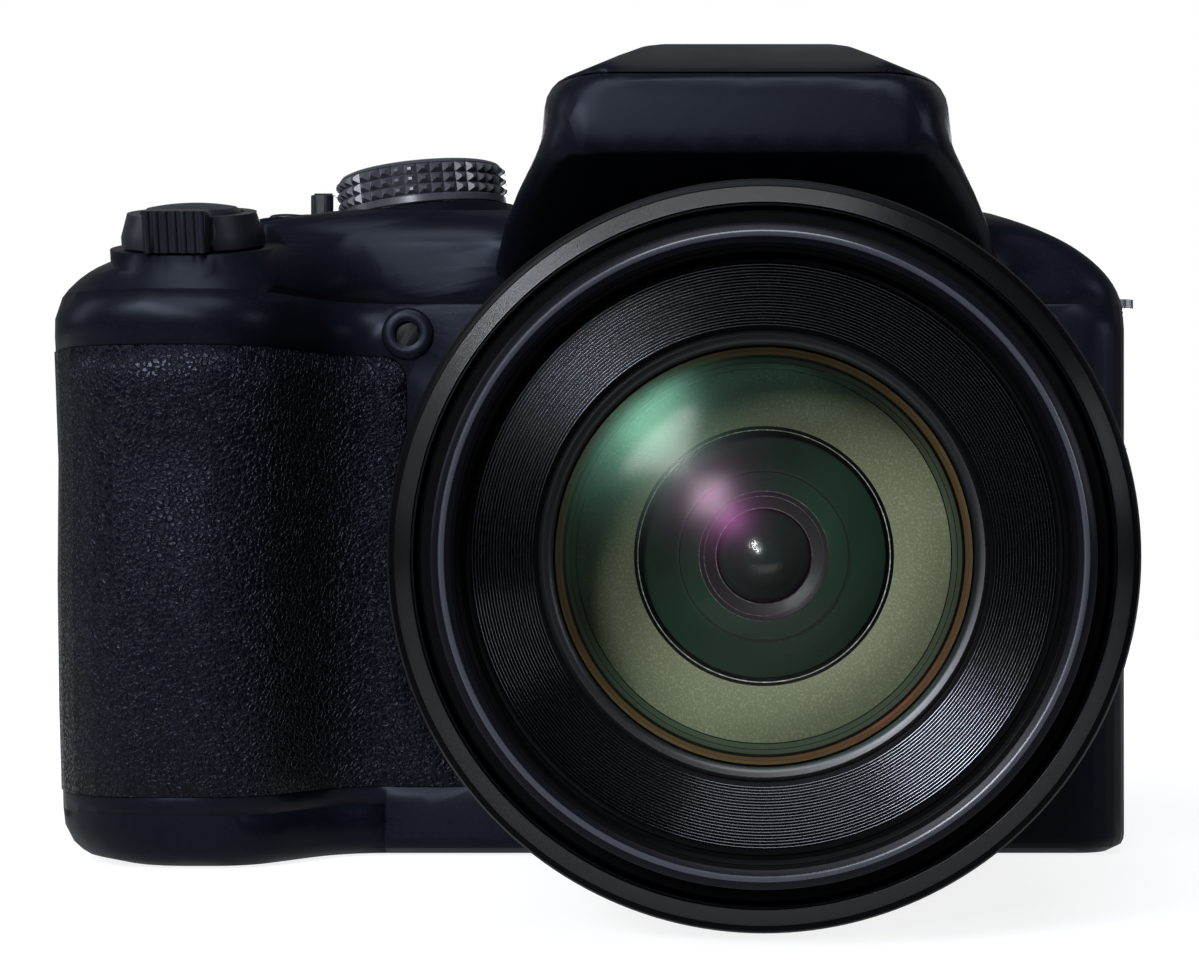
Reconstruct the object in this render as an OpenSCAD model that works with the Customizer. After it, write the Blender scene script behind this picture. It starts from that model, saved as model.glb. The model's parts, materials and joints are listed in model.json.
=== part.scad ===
// Bridge camera with a long zoom lens, as an assembly of separate pieces.
// The lens axis is at x = 0 and points to -Y, the hand grip is at -X and the base is at z = 0.
// The origin is the mouth of the tripod socket.

/* [Body] */
// Width of the body, from the grip side to the far side
body_w = 124.4; // [122:0.2:130]
// Distance from the lens axis to the far side
far_w = 43; // [42:0.2:46]
// Distance from the tripod axis to the front face
front_d = 17; // [16:0.5:19]
// Distance from the tripod axis to the rear face
rear_d = 19.5; // [18.5:0.5:23]
// Height of the top plate
plate_h = 76; // [74.5:0.5:79]
// Distance of the seam between the shells and the top cover below the top plate
seam_drop = 11.5; // [10.5:0.1:12.7]
// Height of the bottom cover
base_h = 6; // [5:0.5:7]
// Depth at which the front and rear shells meet
split_y = 3; // [1:0.5:5]
// Thickness of the moulded walls
wall = 2; // [1.6:0.1:2.4]

/* [Grip] */
// How far the grip stands ahead of the front face
grip_d = 15; // [12:0.5:18]
// Width of the grip at its front
grip_w = 24; // [22.5:0.5:27]
// Width of the slope from the grip down to the front face
valley_w = 9; // [7:0.5:11]
// Thickness of the grip rubber
rubber_t = 1; // [0.8:0.1:1.3]
// Height of the rubber's lower edge
rubber_low = 8; // [7.5:0.5:12]
// Distance of the rubber's upper edge below the seam
rubber_drop = 6.1; // [5:0.1:9]
// Radius of the rubber's edge round the lens
rubber_r = 43.3; // [41:0.1:45]

/* [Viewfinder hump] */
// Sideways offset of the hump from the lens axis
hump_x = -2; // [-3:0.5:1]
// Height of the hump's front face and top above the recess round the lens
hump_face = 17.8; // [16.3:0.1:19.5]
// How far the hump hangs over ahead of the front face
hump_d = 23; // [21:0.5:26]
// Half width of the hump at its shoulders
hump_r = 23; // [22:0.5:25]
// Radius of the recess that the hump leaves round the lens
recess_r = 41.5; // [40:0.5:42.5]

/* [Flash] */
// Height of the flash head
flash_t = 7.3; // [6.5:0.1:8.1]
// Distance of the flash hinge behind the tripod axis
flash_hinge_y = -8; // [-10:0.5:-6]
// Angle to which the flash head opens
flash_open = 60; // [50:1:65]
// Width of the flash lamp box
lamp_w = 22; // [18:0.5:26]
// Height of the flash lamp box
lamp_h = 5; // [4:0.2:6]

/* [Lens] */
// Height of the lens above the base plane
lens_clear = 0.5; // [0.4:0.1:1.5]
// How far the front ring of the fixed barrel stands out
ring_step = 1; // [0.6:0.1:1.2]
// Wall of the fixed barrel
barrel_wall = 2.1; // [1.8:0.1:2.4]
// Length of the fixed barrel ahead of the front face
barrel_len = 66; // [60:0.5:70]
// How far the front rim stands ahead of the fixed barrel
rim_out = 5; // [4:0.5:7]
// Wall of the front rim, from the filter thread to its outside
rim_wall = 2.3; // [2:0.1:2.5]
// Wall of the zoom barrels
zoom_wall = 1.4; // [1.2:0.1:1.6]
// Inner radius of the filter thread, for a 55 mm filter
filter_r = 27.1; // [26.9:0.1:27.3]
// Free depth of the filter thread
filter_len = 3.8; // [3:0.2:4.4]
// Radius of the front lens element
glass_r = 19.2; // [18.6:0.1:19.6]
// Travel of each zoom barrel
zoom_travel = 30; // [20:1:32]

/* [Screen and eyepiece] */
// Width of the screen window
screen_w = 66; // [62:0.5:67]
// Distance of the screen window below the seam
screen_edge = 5.5; // [5:0.1:8]
// Width of the eyepiece
eye_w = 31; // [28:0.5:33]
// Height of the eyepiece
eye_h = 16; // [15:0.5:17]
// How far the eyecup stands behind the rear face
eye_d = 11.7; // [10:0.1:13]

/* [Controls] */
// Diameter of the mode dial
dial_d = 21; // [19:0.5:22]
// Height of the mode dial
dial_h = 5.6; // [5:0.2:7]
// Diameter of the shutter button
shutter_d = 11; // [9.5:0.5:12]
// Outer radius of the zoom lever
lever_r = 8; // [7.6:0.1:8.6]
// Diameter of the small round buttons
button_d = 5.2; // [4.6:0.1:5.8]
// Travel of the small round buttons
button_travel = 0.5; // [0.3:0.1:0.6]
// Travel of the shutter button
shutter_travel = 0.8; // [0.5:0.1:0.9]
// Radius of the rear dial
thumb_dial_r = 7.5; // [6.5:0.1:8]

/* [Battery and sockets] */
// Thickness of the battery
battery_w = 14.4; // [13.5:0.1:14.8]
// Depth of the battery
battery_d = 30; // [28:0.5:31]
// Height of the battery
battery_h = 41; // [36:0.5:44]
// Width of the terminal door
port_w = 17; // [15:0.5:18]
// Height of the terminal door
port_h = 30; // [26:0.5:32]
// Radius of the hole for a 1/4-20 tripod screw
tripod_r = 2.55; // [2.5:0.01:2.65]
// Depth of the hole for the tripod screw
tripod_len = 5.6; // [4.5:0.1:5.8]

/* [Fits] */
// Gap round a piece that moves
gap = 0.3; // [0.25:0.05:0.4]
// Gap round a piece that is fixed in a hole
seat = 0.1; // [0.05:0.05:0.15]

/* [Hidden] */
$fn = 64;
x_far = far_w;
x_grip = far_w - body_w;
seam_h = plate_h - seam_drop;
rubber_top = seam_h - rubber_drop;

// Barrels of the lens, each inside the next, and the height of its axis
rim_r = filter_r + rim_wall;
zoom_1_in = rim_r + gap;
zoom_1_out = zoom_1_in + zoom_wall;
barrel_in = zoom_1_out + gap;
barrel_r = barrel_in + barrel_wall;
ring_r = barrel_r + ring_step;
axis_h = ring_r + lens_clear;
hump_h = axis_h + recess_r + hump_face;
flash_z = hump_h - flash_t;
y_front = -front_d;
inner_front = y_front + wall;
inner_rear = rear_d - wall;

shell_colour = [0.11, 0.12, 0.15];
rubber_colour = [0.07, 0.07, 0.08];
trim_colour = [0.16, 0.17, 0.19];
metal_colour = [0.72, 0.73, 0.75];
glass_colour = [0.45, 0.52, 0.46];

// Plane geometry for rounded outlines
function unit(v) = v / norm(v);
function turned(v, a) = [v.x * cos(a) - v.y * sin(a), v.x * sin(a) + v.y * cos(a)];
function at(list, i) = list[(i + len(list)) % len(list)];
function bends_left(a, p, b) = cross(p - a, b - p) > 0;

// Moves every edge of a counter-clockwise outline inwards by d
function inset(pts, d) = [for (i = [0:len(pts) - 1])
  let (n1 = turned(unit(pts[i] - at(pts, i - 1)), 90),
       n2 = turned(unit(at(pts, i + 1) - pts[i]), 90))
  pts[i] + (n1 + n2) * d / (1 + n1 * n2)];

// Arc of radius r, in steps, that rounds the corner p between a and b
function corner_arc(a, p, b, r, steps) =
  let (u = unit(a - p),
       v = unit(b - p),
       half = acos(max(-1, min(1, u * v))) / 2,
       c = p + unit(u + v) * r / sin(half),
       start = p + u * r / tan(half) - c,
       side = bends_left(a, p, b) ? 1 : -1)
  [for (i = [0:steps]) c + turned(start, side * (180 - 2 * half) * i / steps)];

// Outline with rounded corners, moved inwards by d
function rounded(pts, radii, d, steps) =
  let (q = inset(pts, d))
  [for (i = [0:len(pts) - 1])
    let (left = bends_left(at(pts, i - 1), pts[i], at(pts, i + 1)),
         r = max(0.4, radii[i] + (left ? -d : d)))
    each corner_arc(at(q, i - 1), q[i], at(q, i + 1), r, steps)];

function box_outline(w, h, r, d = 0, steps = 6) =
  rounded([[w / 2, h / 2], [-w / 2, h / 2], [-w / 2, -h / 2], [w / 2, -h / 2]],
    [r, r, r, r], d, steps);

function lifted(pts, z) = [for (p = pts) [p.x, p.y, z]];

function middle(pts) = [for (i = [0:2]) [for (p = pts) p[i]] * [for (p = pts) 1] / len(pts)];

// Solid through a stack of outlines that all have the same number of points.
// Each end is a fan round a hub that sees the whole outline.
module loft(rings, hubs = undef) {
  n = len(rings[0]);
  m = len(rings);
  low = m * n;
  ends = is_undef(hubs) ? [middle(rings[0]), middle(rings[m - 1])] : hubs;
  sides = [for (k = [0:m - 2], i = [0:n - 1])
    let (a = k * n + i, b = k * n + (i + 1) % n)
    each [[a, a + n, b + n], [a, b + n, b]]];
  bottom = [for (i = [0:n - 1]) [low, i, (i + 1) % n]];
  top = [for (i = [0:n - 1]) [low + 1, (m - 1) * n + (i + 1) % n, (m - 1) * n + i]];
  polyhedron(points = concat([for (r = rings) each r], ends), faces = concat(bottom, sides, top));
}

// Body form: plan outlines stacked in height
base_r = 2;
foot_r = 5;
grip_shoulder = plate_h - 18;
far_shoulder = plate_h - 14;
front_shoulder = plate_h - 4.6;
rear_shoulder = plate_h - 6;
plate_left = 28.6;
plate_right = 15;
front_round = 3.6;
rear_round = 4;
far_corner = 6;
rear_corner = 6;
grip_rear_corner = 9;
grip_corner = 13;
grip_edge = 9;
valley_r = 8;
// Height, and how far the grip stands out there as a share of grip_d
grip_profile = [[0, 0.8], [6, 0.88], [18, 0.96], [32, 1], [46, 0.98], [58, 1.08], [62, 1.14],
  [64, 1.13], [65, 1.1], [66, 1.05], [67, 0.97], [68, 0.86], [69, 0.72], [70, 0.55], [71, 0.37],
  [72, 0.2], [73, 0.09], [74, 0.05], [76, 0.04]];
// Heights of the outlines for a top plate at usual_plate
usual_plate = 76;
body_levels = [0, 0.3, 0.8, 1.4, 2, 4, 6, 10, 18, 32, 46, 54, 58, 60, 62, 64.5, 65.5, 66.5, 67.3, 68, 68.7,
  69.4, 70, 70.6, 71.2, 71.8, 72.4, 73, 73.8, 74.6, 75.2, 75.7, usual_plate];
level_scale = plate_h / usual_plate;
// The edges of the rubber are outlines too, so that the facets end there
near_edge = 0.6;
outline_levels = let (all = [for (k = body_levels) k * level_scale]) concat(
  [for (z = all) if (z < rubber_low - near_edge) z], [rubber_low],
  [for (z = all) if (z > rubber_low + near_edge && z < rubber_top - near_edge) z], [rubber_top],
  [for (z = all) if (z > rubber_top + near_edge) z]);

function quarter_in(z, r) = z >= r ? 0 : r - sqrt(r * r - (r - z) * (r - z));
function rise(z, z0) = max(0, min(1, (z - z0) / (plate_h - z0)));
function body_left(z) =
  x_grip + quarter_in(z, foot_r) + plate_left * pow(rise(z, grip_shoulder), 3.4);
function body_right(z) = x_far - plate_right * pow(rise(z, far_shoulder), 2.5);
function body_front(z) = y_front + front_round * pow(rise(z, front_shoulder), 2);
function body_rear(z) = rear_d - rear_round * pow(rise(z, rear_shoulder), 2);
function grip_front(z) = body_front(z) - grip_d * lookup(z / level_scale, grip_profile);

function grip_side(z) = max(x_grip + grip_w, body_left(z) + 9);

function body_outline(z, d, steps) =
  let (l = body_left(z),
       r = body_right(z),
       f = body_front(z),
       g = grip_front(z),
       b = body_rear(z),
       w = grip_side(z),
       pts = [[r, b], [l, b], [l, g], [w, g], [w + valley_w, f], [r, f]],
       c = min(grip_corner, 0.58 * (w - l)),
       radii = [rear_corner, grip_rear_corner, c, grip_edge, valley_r, far_corner])
  rounded(pts, radii, d + quarter_in(z, base_r), steps);

// Body between two heights, moved inwards by d; drop lowers a form that is hollowed out
module body_form(z0, z1, d, steps = 6, drop = 0) {
  inside = [for (z = outline_levels) if (z > z0 + 0.3 && z < z1 - 0.3) z];
  loft([for (z = concat([z0], inside, [z1])) lifted(body_outline(min(z + drop, plate_h), d, steps), z)],
    [for (z = [z0, z1]) [grip_side(min(z + drop, plate_h)) + 2, 0, z]]);
}

// Hump form: front outlines stacked in depth, from the rear to the front overhang
name_low = axis_h + recess_r + 2;
skirt_z = seam_h + 1.5;
skirt_w = 31;
// Each row: depth ahead of the front face, half widths of the skirt and the waist, half width and
// height of the shoulder against hump_r and hump_h, half width of the top, its height against hump_h
hump_rows = [[-37, 20, 18.5, -4.5, -9, 12, -4.3], [-28, 24, 21, -2.4, -6.6, 12, -2.2],
  [-18, 29, 23.4, -0.6, -5.8, 11.5, -0.6], [-6, skirt_w, 24, 0, -5.4, 10.5, 0],
  [3, 30, 24, 0, -5.6, 10.5, 0], [8, 28.5, 23.6, -0.3, -6, 11.5, -1.2],
  [13, 26.5, 22.8, -0.7, -6.7, 13.3, -3], [18, 24, 21.8, -1.6, -7.6, 15.2, -5],
  [21, 22, 20.8, -2.4, -8.6, 16.2, -6.4], [22.5, 20.6, 19.8, -3.4, -9.8, 16.2, -7.4],
  [23, 19.6, 19, -4.2, -11, 15.8, -8.2]];
hump_reach = 23;

function hump_low(ahead) = ahead < 2 ? skirt_z
  : skirt_z + (name_low - skirt_z) * pow((ahead - 2) / (hump_reach - 2), 0.8);

function hump_outline(row) =
  let (low = hump_low(row[0]),
       s = hump_r + row[3],
       sz = hump_h + row[4],
       t = row[5],
       tz = hump_h + row[6],
       wz = low + 0.55 * (sz - low),
       right = [[row[1], low], [row[2], wz], [s, sz], [t, tz]],
       left = [for (i = [3:-1:0]) [-right[i].x, right[i].y]])
  rounded(concat(right, left), [1.5, 9, 4, 5, 5, 4, 9, 1.5], 0, 4);

module hump_form() {
  translate([hump_x, 0, 0]) rotate([90, 0, 0])
    loft([for (row = hump_rows)
      lifted(hump_outline(row), front_d + (row[0] > 0 ? row[0] * hump_d / hump_reach : row[0]))]);
}

// Frames of reference
module along_lens() { translate([0, 0, axis_h]) rotate([90, 0, 0]) children(); }
module lens_turn() { along_lens() rotate_extrude($fn = 96) children(); }
module facing_rear(x, z) { translate([x, rear_d, z]) rotate([-90, 0, 0]) children(); }
module facing_far(y, z) { translate([x_far, y, z]) rotate([90, 0, 90]) children(); }
module behind_of(y) { translate([-200, y, -100]) cube([400, 200, 300]); }
module ahead_of(y) { translate([-200, y - 200, -100]) cube([400, 200, 300]); }

module rod(r, z0, z1) { translate([0, 0, z0]) cylinder(r = r, h = z1 - z0); }
module slab(w, h, r, z0, z1) {
  translate([0, 0, z0]) linear_extrude(z1 - z0) polygon(box_outline(w, h, r));
}
module block(x0, x1, y0, y1, z0, z1) { translate([x0, y0, z0]) cube([x1 - x0, y1 - y0, z1 - z0]); }

// Shutter pod on the grip, tilted forward
pod_x = x_grip + 16.4;
pod_y = y_front - 7.2;
pod_z = plate_h - 5.8;
pod_tilt = 13;
collar_r = lever_r + 1.3;
collar_h = 3.2;
tab_w = 7;
tab_ribs = 7;
tab_out = 1.6;
tab_reach = norm([tab_w / 2, lever_r - 0.2 + tab_out]);
boss_h = 1.4;
module on_pod() { translate([pod_x, pod_y, pod_z]) rotate([pod_tilt, 0, 0]) children(); }

// Mode dial on its tilted plinth
dial_x = x_grip + 39.4;
dial_y = 0;
dial_tilt = 6.5;
spindle_r = 2;
module on_dial() { translate([dial_x, dial_y, plate_h + 1]) rotate([0, -dial_tilt, 0]) children(); }

// Power switch beside the dial
switch_x = dial_x - dial_d / 2 - 2.2;
switch_travel = 4;
switch_w = 2.8;
switch_len = 7;
switch_sink = 0.9;
switch_h = 4.2;

// Small top buttons: place and height of their faces
movie_at = [x_grip + 24.4, -9.5, plate_h - 0.4];
fn_at = [x_grip + 18, -2, plate_h - 1.2];

// Rear controls
flange = 1;
rear_col = x_grip + 18;
key_z = 24;
key_in = 4.9;
key_out = 9.4;
set_r = 3.9;
thumb_dial_x = x_grip + 22;
thumb_dial_z = seam_h - 7.5;
thumb_dial_h = 4.6;
thumb_dial_y = rear_d + 1.3 - thumb_dial_r;
top_row_z = seam_h - 4.9;
play_at = [x_grip + 38, seam_h - 26.5];
menu_at = [rear_col - 6, 9.8];
disp_at = [rear_col + 8, 9.8];

// Screen
screen_x = x_far - screen_w / 2 - 4.5;
screen_low = base_h + 3;
screen_h = seam_h - screen_edge - screen_low;
screen_z = screen_low + screen_h / 2;
glass_t = 1.4;
screen_lip = 3;

// Two buttons share the room between the rear dial and the screen
row_from = thumb_dial_x + thumb_dial_r + gap;
row_room = screen_x - screen_w / 2 - row_from;
lock_at = [row_from + row_room / 4, top_row_z];
lvf_at = [row_from + row_room * 3 / 4, top_row_z];

// Eyepiece
eye_z = plate_h + 4.6;
eye_frame_w = eye_w - 8;
eye_frame_h = eye_h - 4.4;

// Terminal door
port_y = 0.5;
port_z = 36;
port_t = 1.5;
port_hinge_y = port_y - port_w / 2 - gap;
port_bead_r = 0.7;
port_bead_len = port_h - 6;

// Battery bay
bay_wall = 1;
bay_x = x_grip + 8.6;
bay_y = 14;
bay_z = 3.6;
card_w = 2.1;
card_d = 24;
card_h = 32;
bay_w = battery_w + card_w + 3 * bay_wall + 4 * seat;
door_t = 1.8;
door_x0 = bay_x - 0.5;
door_x1 = bay_x + bay_w + 0.5;
door_y1 = bay_y + 1;
door_y0 = bay_y - battery_d - 1;
knuckle_r = 1.1;
pin_r = 0.5;
hinge_x = door_x1 + gap + knuckle_r;
knuckles = [0.2, 0.5, 0.85];
knuckle_len = 5;

// Tripod bush
bush_r = 5.5;
bush_flange_r = 8;
bush_flange_t = 1.4;
bush_h = tripod_len + 0.8;

// Lens parts, as distances ahead of the tripod axis
barrel_back = -inner_front;
barrel_tip = front_d + barrel_len;
rim_tip = barrel_tip + rim_out;
zoom_2_in = rim_r - zoom_wall;
zoom_overlap = 13;
zoom_1_back = barrel_tip - zoom_travel - zoom_overlap;
zoom_2_back = zoom_1_back + 6;
name_top = rim_tip - filter_len;
name_r = filter_r - 0.3;
glass_seat = rim_tip - 12;
mount_flange_r = barrel_r + 3.6;
mount_tube_r = axis_h - bush_h - 2 * gap;
chassis_y = 6;
chassis_t = 1.5;

// Casing

module lens_opening() { along_lens() rod(barrel_r + seat, front_d - wall - 1, front_d + 30); }

// Space of the bottom cover: all that is low, apart from the front lip under the lens
lip_x = x_grip + grip_w + valley_w + 4;
module base_zone() {
  translate([-200, -200, -1]) cube([lip_x + 200, 400, base_h + 1]);
  translate([-200, inner_front + 2, -1]) cube([400, 200, base_h + 1]);
}

// Room of the grip rubber: a margin round the lens, and a rounded upper corner beside it
rubber_side = x_grip + 39.6;
rubber_corner = 3;
module rubber_zone(margin, edge_y) {
  side = rubber_side - margin;
  difference() {
    children();
    along_lens() rod(rubber_r + margin, -100, 100);
    block(-rubber_r * 0.7, 100, -100, 100, -1, axis_h + 1);
    block(side, 100, -100, 100, axis_h, 100);
    translate([side - rubber_corner, 0, rubber_top - margin - rubber_corner]) difference() {
      block(0, rubber_corner + 1, -100, 100, 0, rubber_corner + 2);
      rotate([90, 0, 0]) rod(rubber_corner, -101, 101);
    }
    behind_of(edge_y);
  }
}

module front_shell() {
  color(shell_colour) difference() {
    union() {
      difference() {
        body_form(0, seam_h, 0);
        body_form(wall, seam_h + 1, wall, 3);
        behind_of(split_y);
        base_zone();
        rubber_zone(0, split_y - 1) difference() {
          body_form(rubber_low, rubber_top, -2);
          body_form(rubber_low - 1, rubber_top + 1, rubber_t);
        }
      }
      translate([af_x, 0, af_z]) rotate([90, 0, 0]) rod(af_r + 1.1, front_d - wall, front_d + 0.5);
    }
    lens_opening();
    translate([af_x, 0, af_z]) rotate([90, 0, 0]) rod(af_r + seat, front_d - wall - 1, front_d + 2);
    port_recess();
    strap_slots();
  }
}

module rear_shell() {
  color(shell_colour) difference() {
    union() {
      difference() {
        body_form(base_h, seam_h, 0);
        body_form(base_h - 1, seam_h + 1, wall, 3);
        ahead_of(split_y);
      }
      thumb_dial_shelf();
    }
    facing_rear(screen_x, screen_z)
      slab(screen_w + 2 * seat, screen_h + 2 * seat, 2, -glass_t - seat, 2);
    facing_rear(screen_x, screen_z)
      slab(screen_w - 2 * screen_lip, screen_h - 2 * screen_lip, 1, -wall - 1, 1);
    for (p = [lvf_at, lock_at, play_at, menu_at, disp_at])
      facing_rear(p.x, p.y) rod(button_d / 2 + gap, -wall - 1, 1);
    facing_rear(rear_col, key_z) rod(key_out + gap, -wall - 1, 1);
    translate([thumb_dial_x, thumb_dial_y, 0]) difference() {
      rod(thumb_dial_r + gap, thumb_dial_z - gap, thumb_dial_z + thumb_dial_h + gap);
      translate([-50, -100 - thumb_dial_y + inner_rear - 1, 0]) cube(100);
    }
    port_recess();
    strap_slots();
  }
}

// Shelf and pin that carry the rear dial
module thumb_dial_shelf() {
  translate([thumb_dial_x, thumb_dial_y, 0]) {
    rod(1.3, thumb_dial_z - gap - 1, thumb_dial_z + thumb_dial_h);
    block(-5, 5, -3, inner_rear - thumb_dial_y + 0.5, thumb_dial_z - gap - 1.5, thumb_dial_z - gap);
  }
}

module port_recess() {
  facing_far(port_y, port_z) slab(port_w + 2 * gap, port_h + 2 * gap, 2, -port_t - seat, 3);
  for (dz = [-7, 7]) facing_far(port_y, port_z + dz) slab(9, 6, 1, -wall - 1, 1);
  on_port_hinge() rod(port_bead_r + gap, -port_bead_len / 2 - gap, port_bead_len / 2 + gap);
}
module on_port_hinge() { translate([x_far, port_hinge_y, port_z]) children(); }

module strap_slots() {
  for (p = lug_places) translate([p.x, lug_y, p.z])
    cube([8, lug_len + 2 * seat, lug_t + 2 * seat], center = true);
}

module top_cover() {
  color(shell_colour) difference() {
    union() {
      difference() {
        union() {
          body_form(seam_h, plate_h, 0);
          difference() {
            hump_form();
            along_lens() rod(recess_r, front_d - wall / 2, front_d + 60);
          }
          on_pod() rod(collar_r, -collar_h, 1);
          on_dial() rod(dial_d / 2 + 0.9, -4, 0);
          translate(movie_at) rod(button_d / 2 + 1.2, -4, -0.4);
          translate(fn_at) rod(button_d / 2 + 1.2, -4, -0.4);
          translate([switch_x, 0, plate_h])
            slab(switch_w + 3, switch_len + switch_travel + 3, 2, -wall - 1, 0.4);
        }
        body_form(seam_h - 1, plate_h - wall, wall, 3, 1.5);
        on_pod() rod(tab_reach + gap, 0, 12);
        on_dial() rod(dial_d / 2 + 2 * gap, 0, 12);
      }
      on_pod() rod(collar_r - 0.2, -2, -seat);
      on_pod() rod(shutter_d / 2 - gap + 0.5, -3, boss_h);
      on_dial() rod(dial_d / 2 - 2, -6, -1);
    }
    lens_opening();
    on_pod() rod(shutter_d / 2 - 0.8 + gap, -30, 10);
    on_dial() rod(spindle_r + seat, -20, 10);
    translate([switch_x, 0, plate_h])
      slab(switch_w + 2 * gap, switch_len + switch_travel + 2 * gap, 1, -switch_sink, 2);
    translate(movie_at) rod(button_d / 2 + gap, -20, 1);
    translate(fn_at) rod(button_d / 2 + gap, -20, 1);
    flash_well();
    translate([hump_x, 0, eye_z]) rotate([-90, 0, 0])
      slab(eye_frame_w + 2 * seat, eye_frame_h + 2 * seat, 2, 2, rear_d + 5);
    translate([hump_x, 0, eye_z]) rotate([-90, 0, 0])
      slab(eye_w + 2 * seat, eye_h + 2 * seat, 3, rear_d - 1, rear_d + 5);
    diopter_pocket();
    flash_button_hole();
    strap_slots();
  }
}

module bottom_cover() {
  color(shell_colour) difference() {
    intersection() {
      body_form(0, base_h + 1, 0);
      base_zone();
    }
    body_form(wall, base_h + 2, wall, 3);
    rod(bush_r + seat, -1, wall + 1);
    block(door_x0 - gap, door_x1 + gap, door_y0 - gap, door_y1 + gap, -1, base_h - 1.6);
    for (k = knuckles) translate([hinge_x, knuckle_y(k), 0])
      block(-knuckle_r - gap - 0.5, knuckle_r + gap, -knuckle_len / 2 - gap, knuckle_len / 2 + gap,
        -1, 2 * knuckle_r + gap);
    translate([hinge_x, 0, knuckle_r]) rotate([90, 0, 0]) rod(pin_r + seat / 2, -door_y1, -door_y0);
    translate([hinge_x, 0, knuckle_r]) rotate([0, 135, 0])
      block(knuckle_r - seat, knuckle_r + 2, door_y0 - 2 * gap, door_y1 + 2 * gap, -0.9, 0.9);
    for (p = screw_places) translate([p.x, p.y, 0]) {
      rod(screw_head_r + seat, -1, 1.2);
      rod(screw_r + seat, -1, wall + 1);
    }
    lens_opening();
  }
}

module grip_rubber() {
  color(rubber_colour) rubber_zone(seat, split_y - 1 - seat) difference() {
    body_form(rubber_low + seat, rubber_top - seat, -0.15);
    body_form(rubber_low - 1, rubber_top + 1, rubber_t);
  }
}

// Thumb rest, in the room between the four keys and the rear dial
thumb_w = 24;
thumb_low = key_z + key_out + 4.6;
thumb_high = thumb_dial_z - gap - 4.7;
thumb_h = thumb_high - thumb_low;
thumb_r = 0.35 * thumb_h;
module thumb_rest() {
  color(rubber_colour) facing_rear(x_grip + 20, (thumb_low + thumb_high) / 2) loft([
    lifted(box_outline(thumb_w, thumb_h, thumb_r), 0),
    lifted(box_outline(thumb_w, thumb_h, thumb_r, 0.3), 0.8),
    lifted(box_outline(thumb_w, thumb_h, thumb_r, 1.2), 1.3)]);
}

// Strap lugs: a metal loop on each side, let into the seam of the top cover
lug_len = 12;
lug_t = 1.1;
lug_out = 2.9;
lug_y = 4;
lug_far_z = seam_h + 1.6;
lug_grip_z = seam_h - 2.6;
lug_places = [[body_right(lug_far_z) - wall, 0, lug_far_z],
  [body_left(lug_grip_z) + wall, 0, lug_grip_z]];
module strap_lugs() {
  color(metal_colour) for (i = [0, 1])
    translate([lug_places[i].x, lug_y, lug_places[i].z]) mirror([i, 0, 0]) difference() {
      slab(2 * (wall + lug_out) + 1, lug_len, 1.4, -lug_t / 2, lug_t / 2);
      translate([wall + 0.9, 0, 0]) slab(1.8, lug_len - 3, 0.8, -2, 2);
    }
}

af_x = x_grip + 39.7;
af_z = rubber_top + 2.6;
af_r = 1.4;
module af_lamp_lens() {
  color([0.35, 0.08, 0.06]) translate([af_x, 0, af_z]) rotate([90, 0, 0])
    rod(af_r, front_d - wall, front_d + 0.1);
}

// Lens

module lens_base_ring() {
  color(trim_colour) intersection() {
    lens_turn() polygon([[barrel_r + seat, front_d], [mount_flange_r - 0.2, front_d],
      [mount_flange_r - 0.2, front_d + 1.6], [mount_flange_r - 1.6, front_d + 3.2],
      [barrel_r + seat, front_d + 3.2]]);
    translate([-100, -100, 0.4]) cube(200);
  }
}

module fixed_barrel() {
  color(trim_colour) lens_turn() polygon([[barrel_in, barrel_back], [barrel_r, barrel_back],
    [barrel_r, barrel_tip - 19], [barrel_r + 0.3, barrel_tip - 17], [ring_r - 0.15, barrel_tip - 12],
    [ring_r, barrel_tip - 9], [ring_r, barrel_tip - 4], [ring_r - 0.25, barrel_tip - 3.2],
    [ring_r - 0.75, barrel_tip - 2.8], [barrel_in + 0.3, barrel_tip], [barrel_in, barrel_tip - 0.3]]);
}

module lens_mount() {
  color([0.2, 0.2, 0.21]) intersection() {
    lens_turn() polygon([[mount_tube_r - 2, -chassis_y], [mount_tube_r, -chassis_y],
      [mount_tube_r, barrel_back - 3], [mount_flange_r, barrel_back - 3], [mount_flange_r, barrel_back],
      [14, barrel_back], [14, barrel_back + 20], [12, barrel_back + 20], [12, barrel_back - 3],
      [mount_tube_r - 2, barrel_back - 3]]);
    translate([-100, -100, wall + seat]) cube([200, 200, seam_h - wall - 2 * seat]);
  }
}

module rear_element() {
  color(glass_colour) lens_turn() polygon(concat([[0, barrel_back + 12], [12 - seat, barrel_back + 13]],
    [for (i = [0:8]) let (r = (12 - seat) * (1 - i / 8)) [r, barrel_back + 18 - r * r / 60]]));
}

module zoom_barrel_1() {
  color(trim_colour) lens_turn() polygon([[zoom_1_in, zoom_1_back], [zoom_1_out, zoom_1_back],
    [zoom_1_out, barrel_tip - 0.3], [zoom_1_out - 0.3, barrel_tip], [zoom_1_in, barrel_tip]]);
}

module zoom_barrel_2() {
  color(trim_colour) lens_turn() polygon([[zoom_2_in, zoom_2_back], [rim_r, zoom_2_back],
    [rim_r, rim_tip - 0.9], [rim_r - 0.5, rim_tip - 0.2], [rim_r - 0.9, rim_tip],
    [filter_r + 0.5, rim_tip], [filter_r, rim_tip - 0.4], [filter_r, name_top],
    [name_r, name_top], [name_r, glass_seat - 1], [zoom_2_in, glass_seat - 1]]);
}

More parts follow.
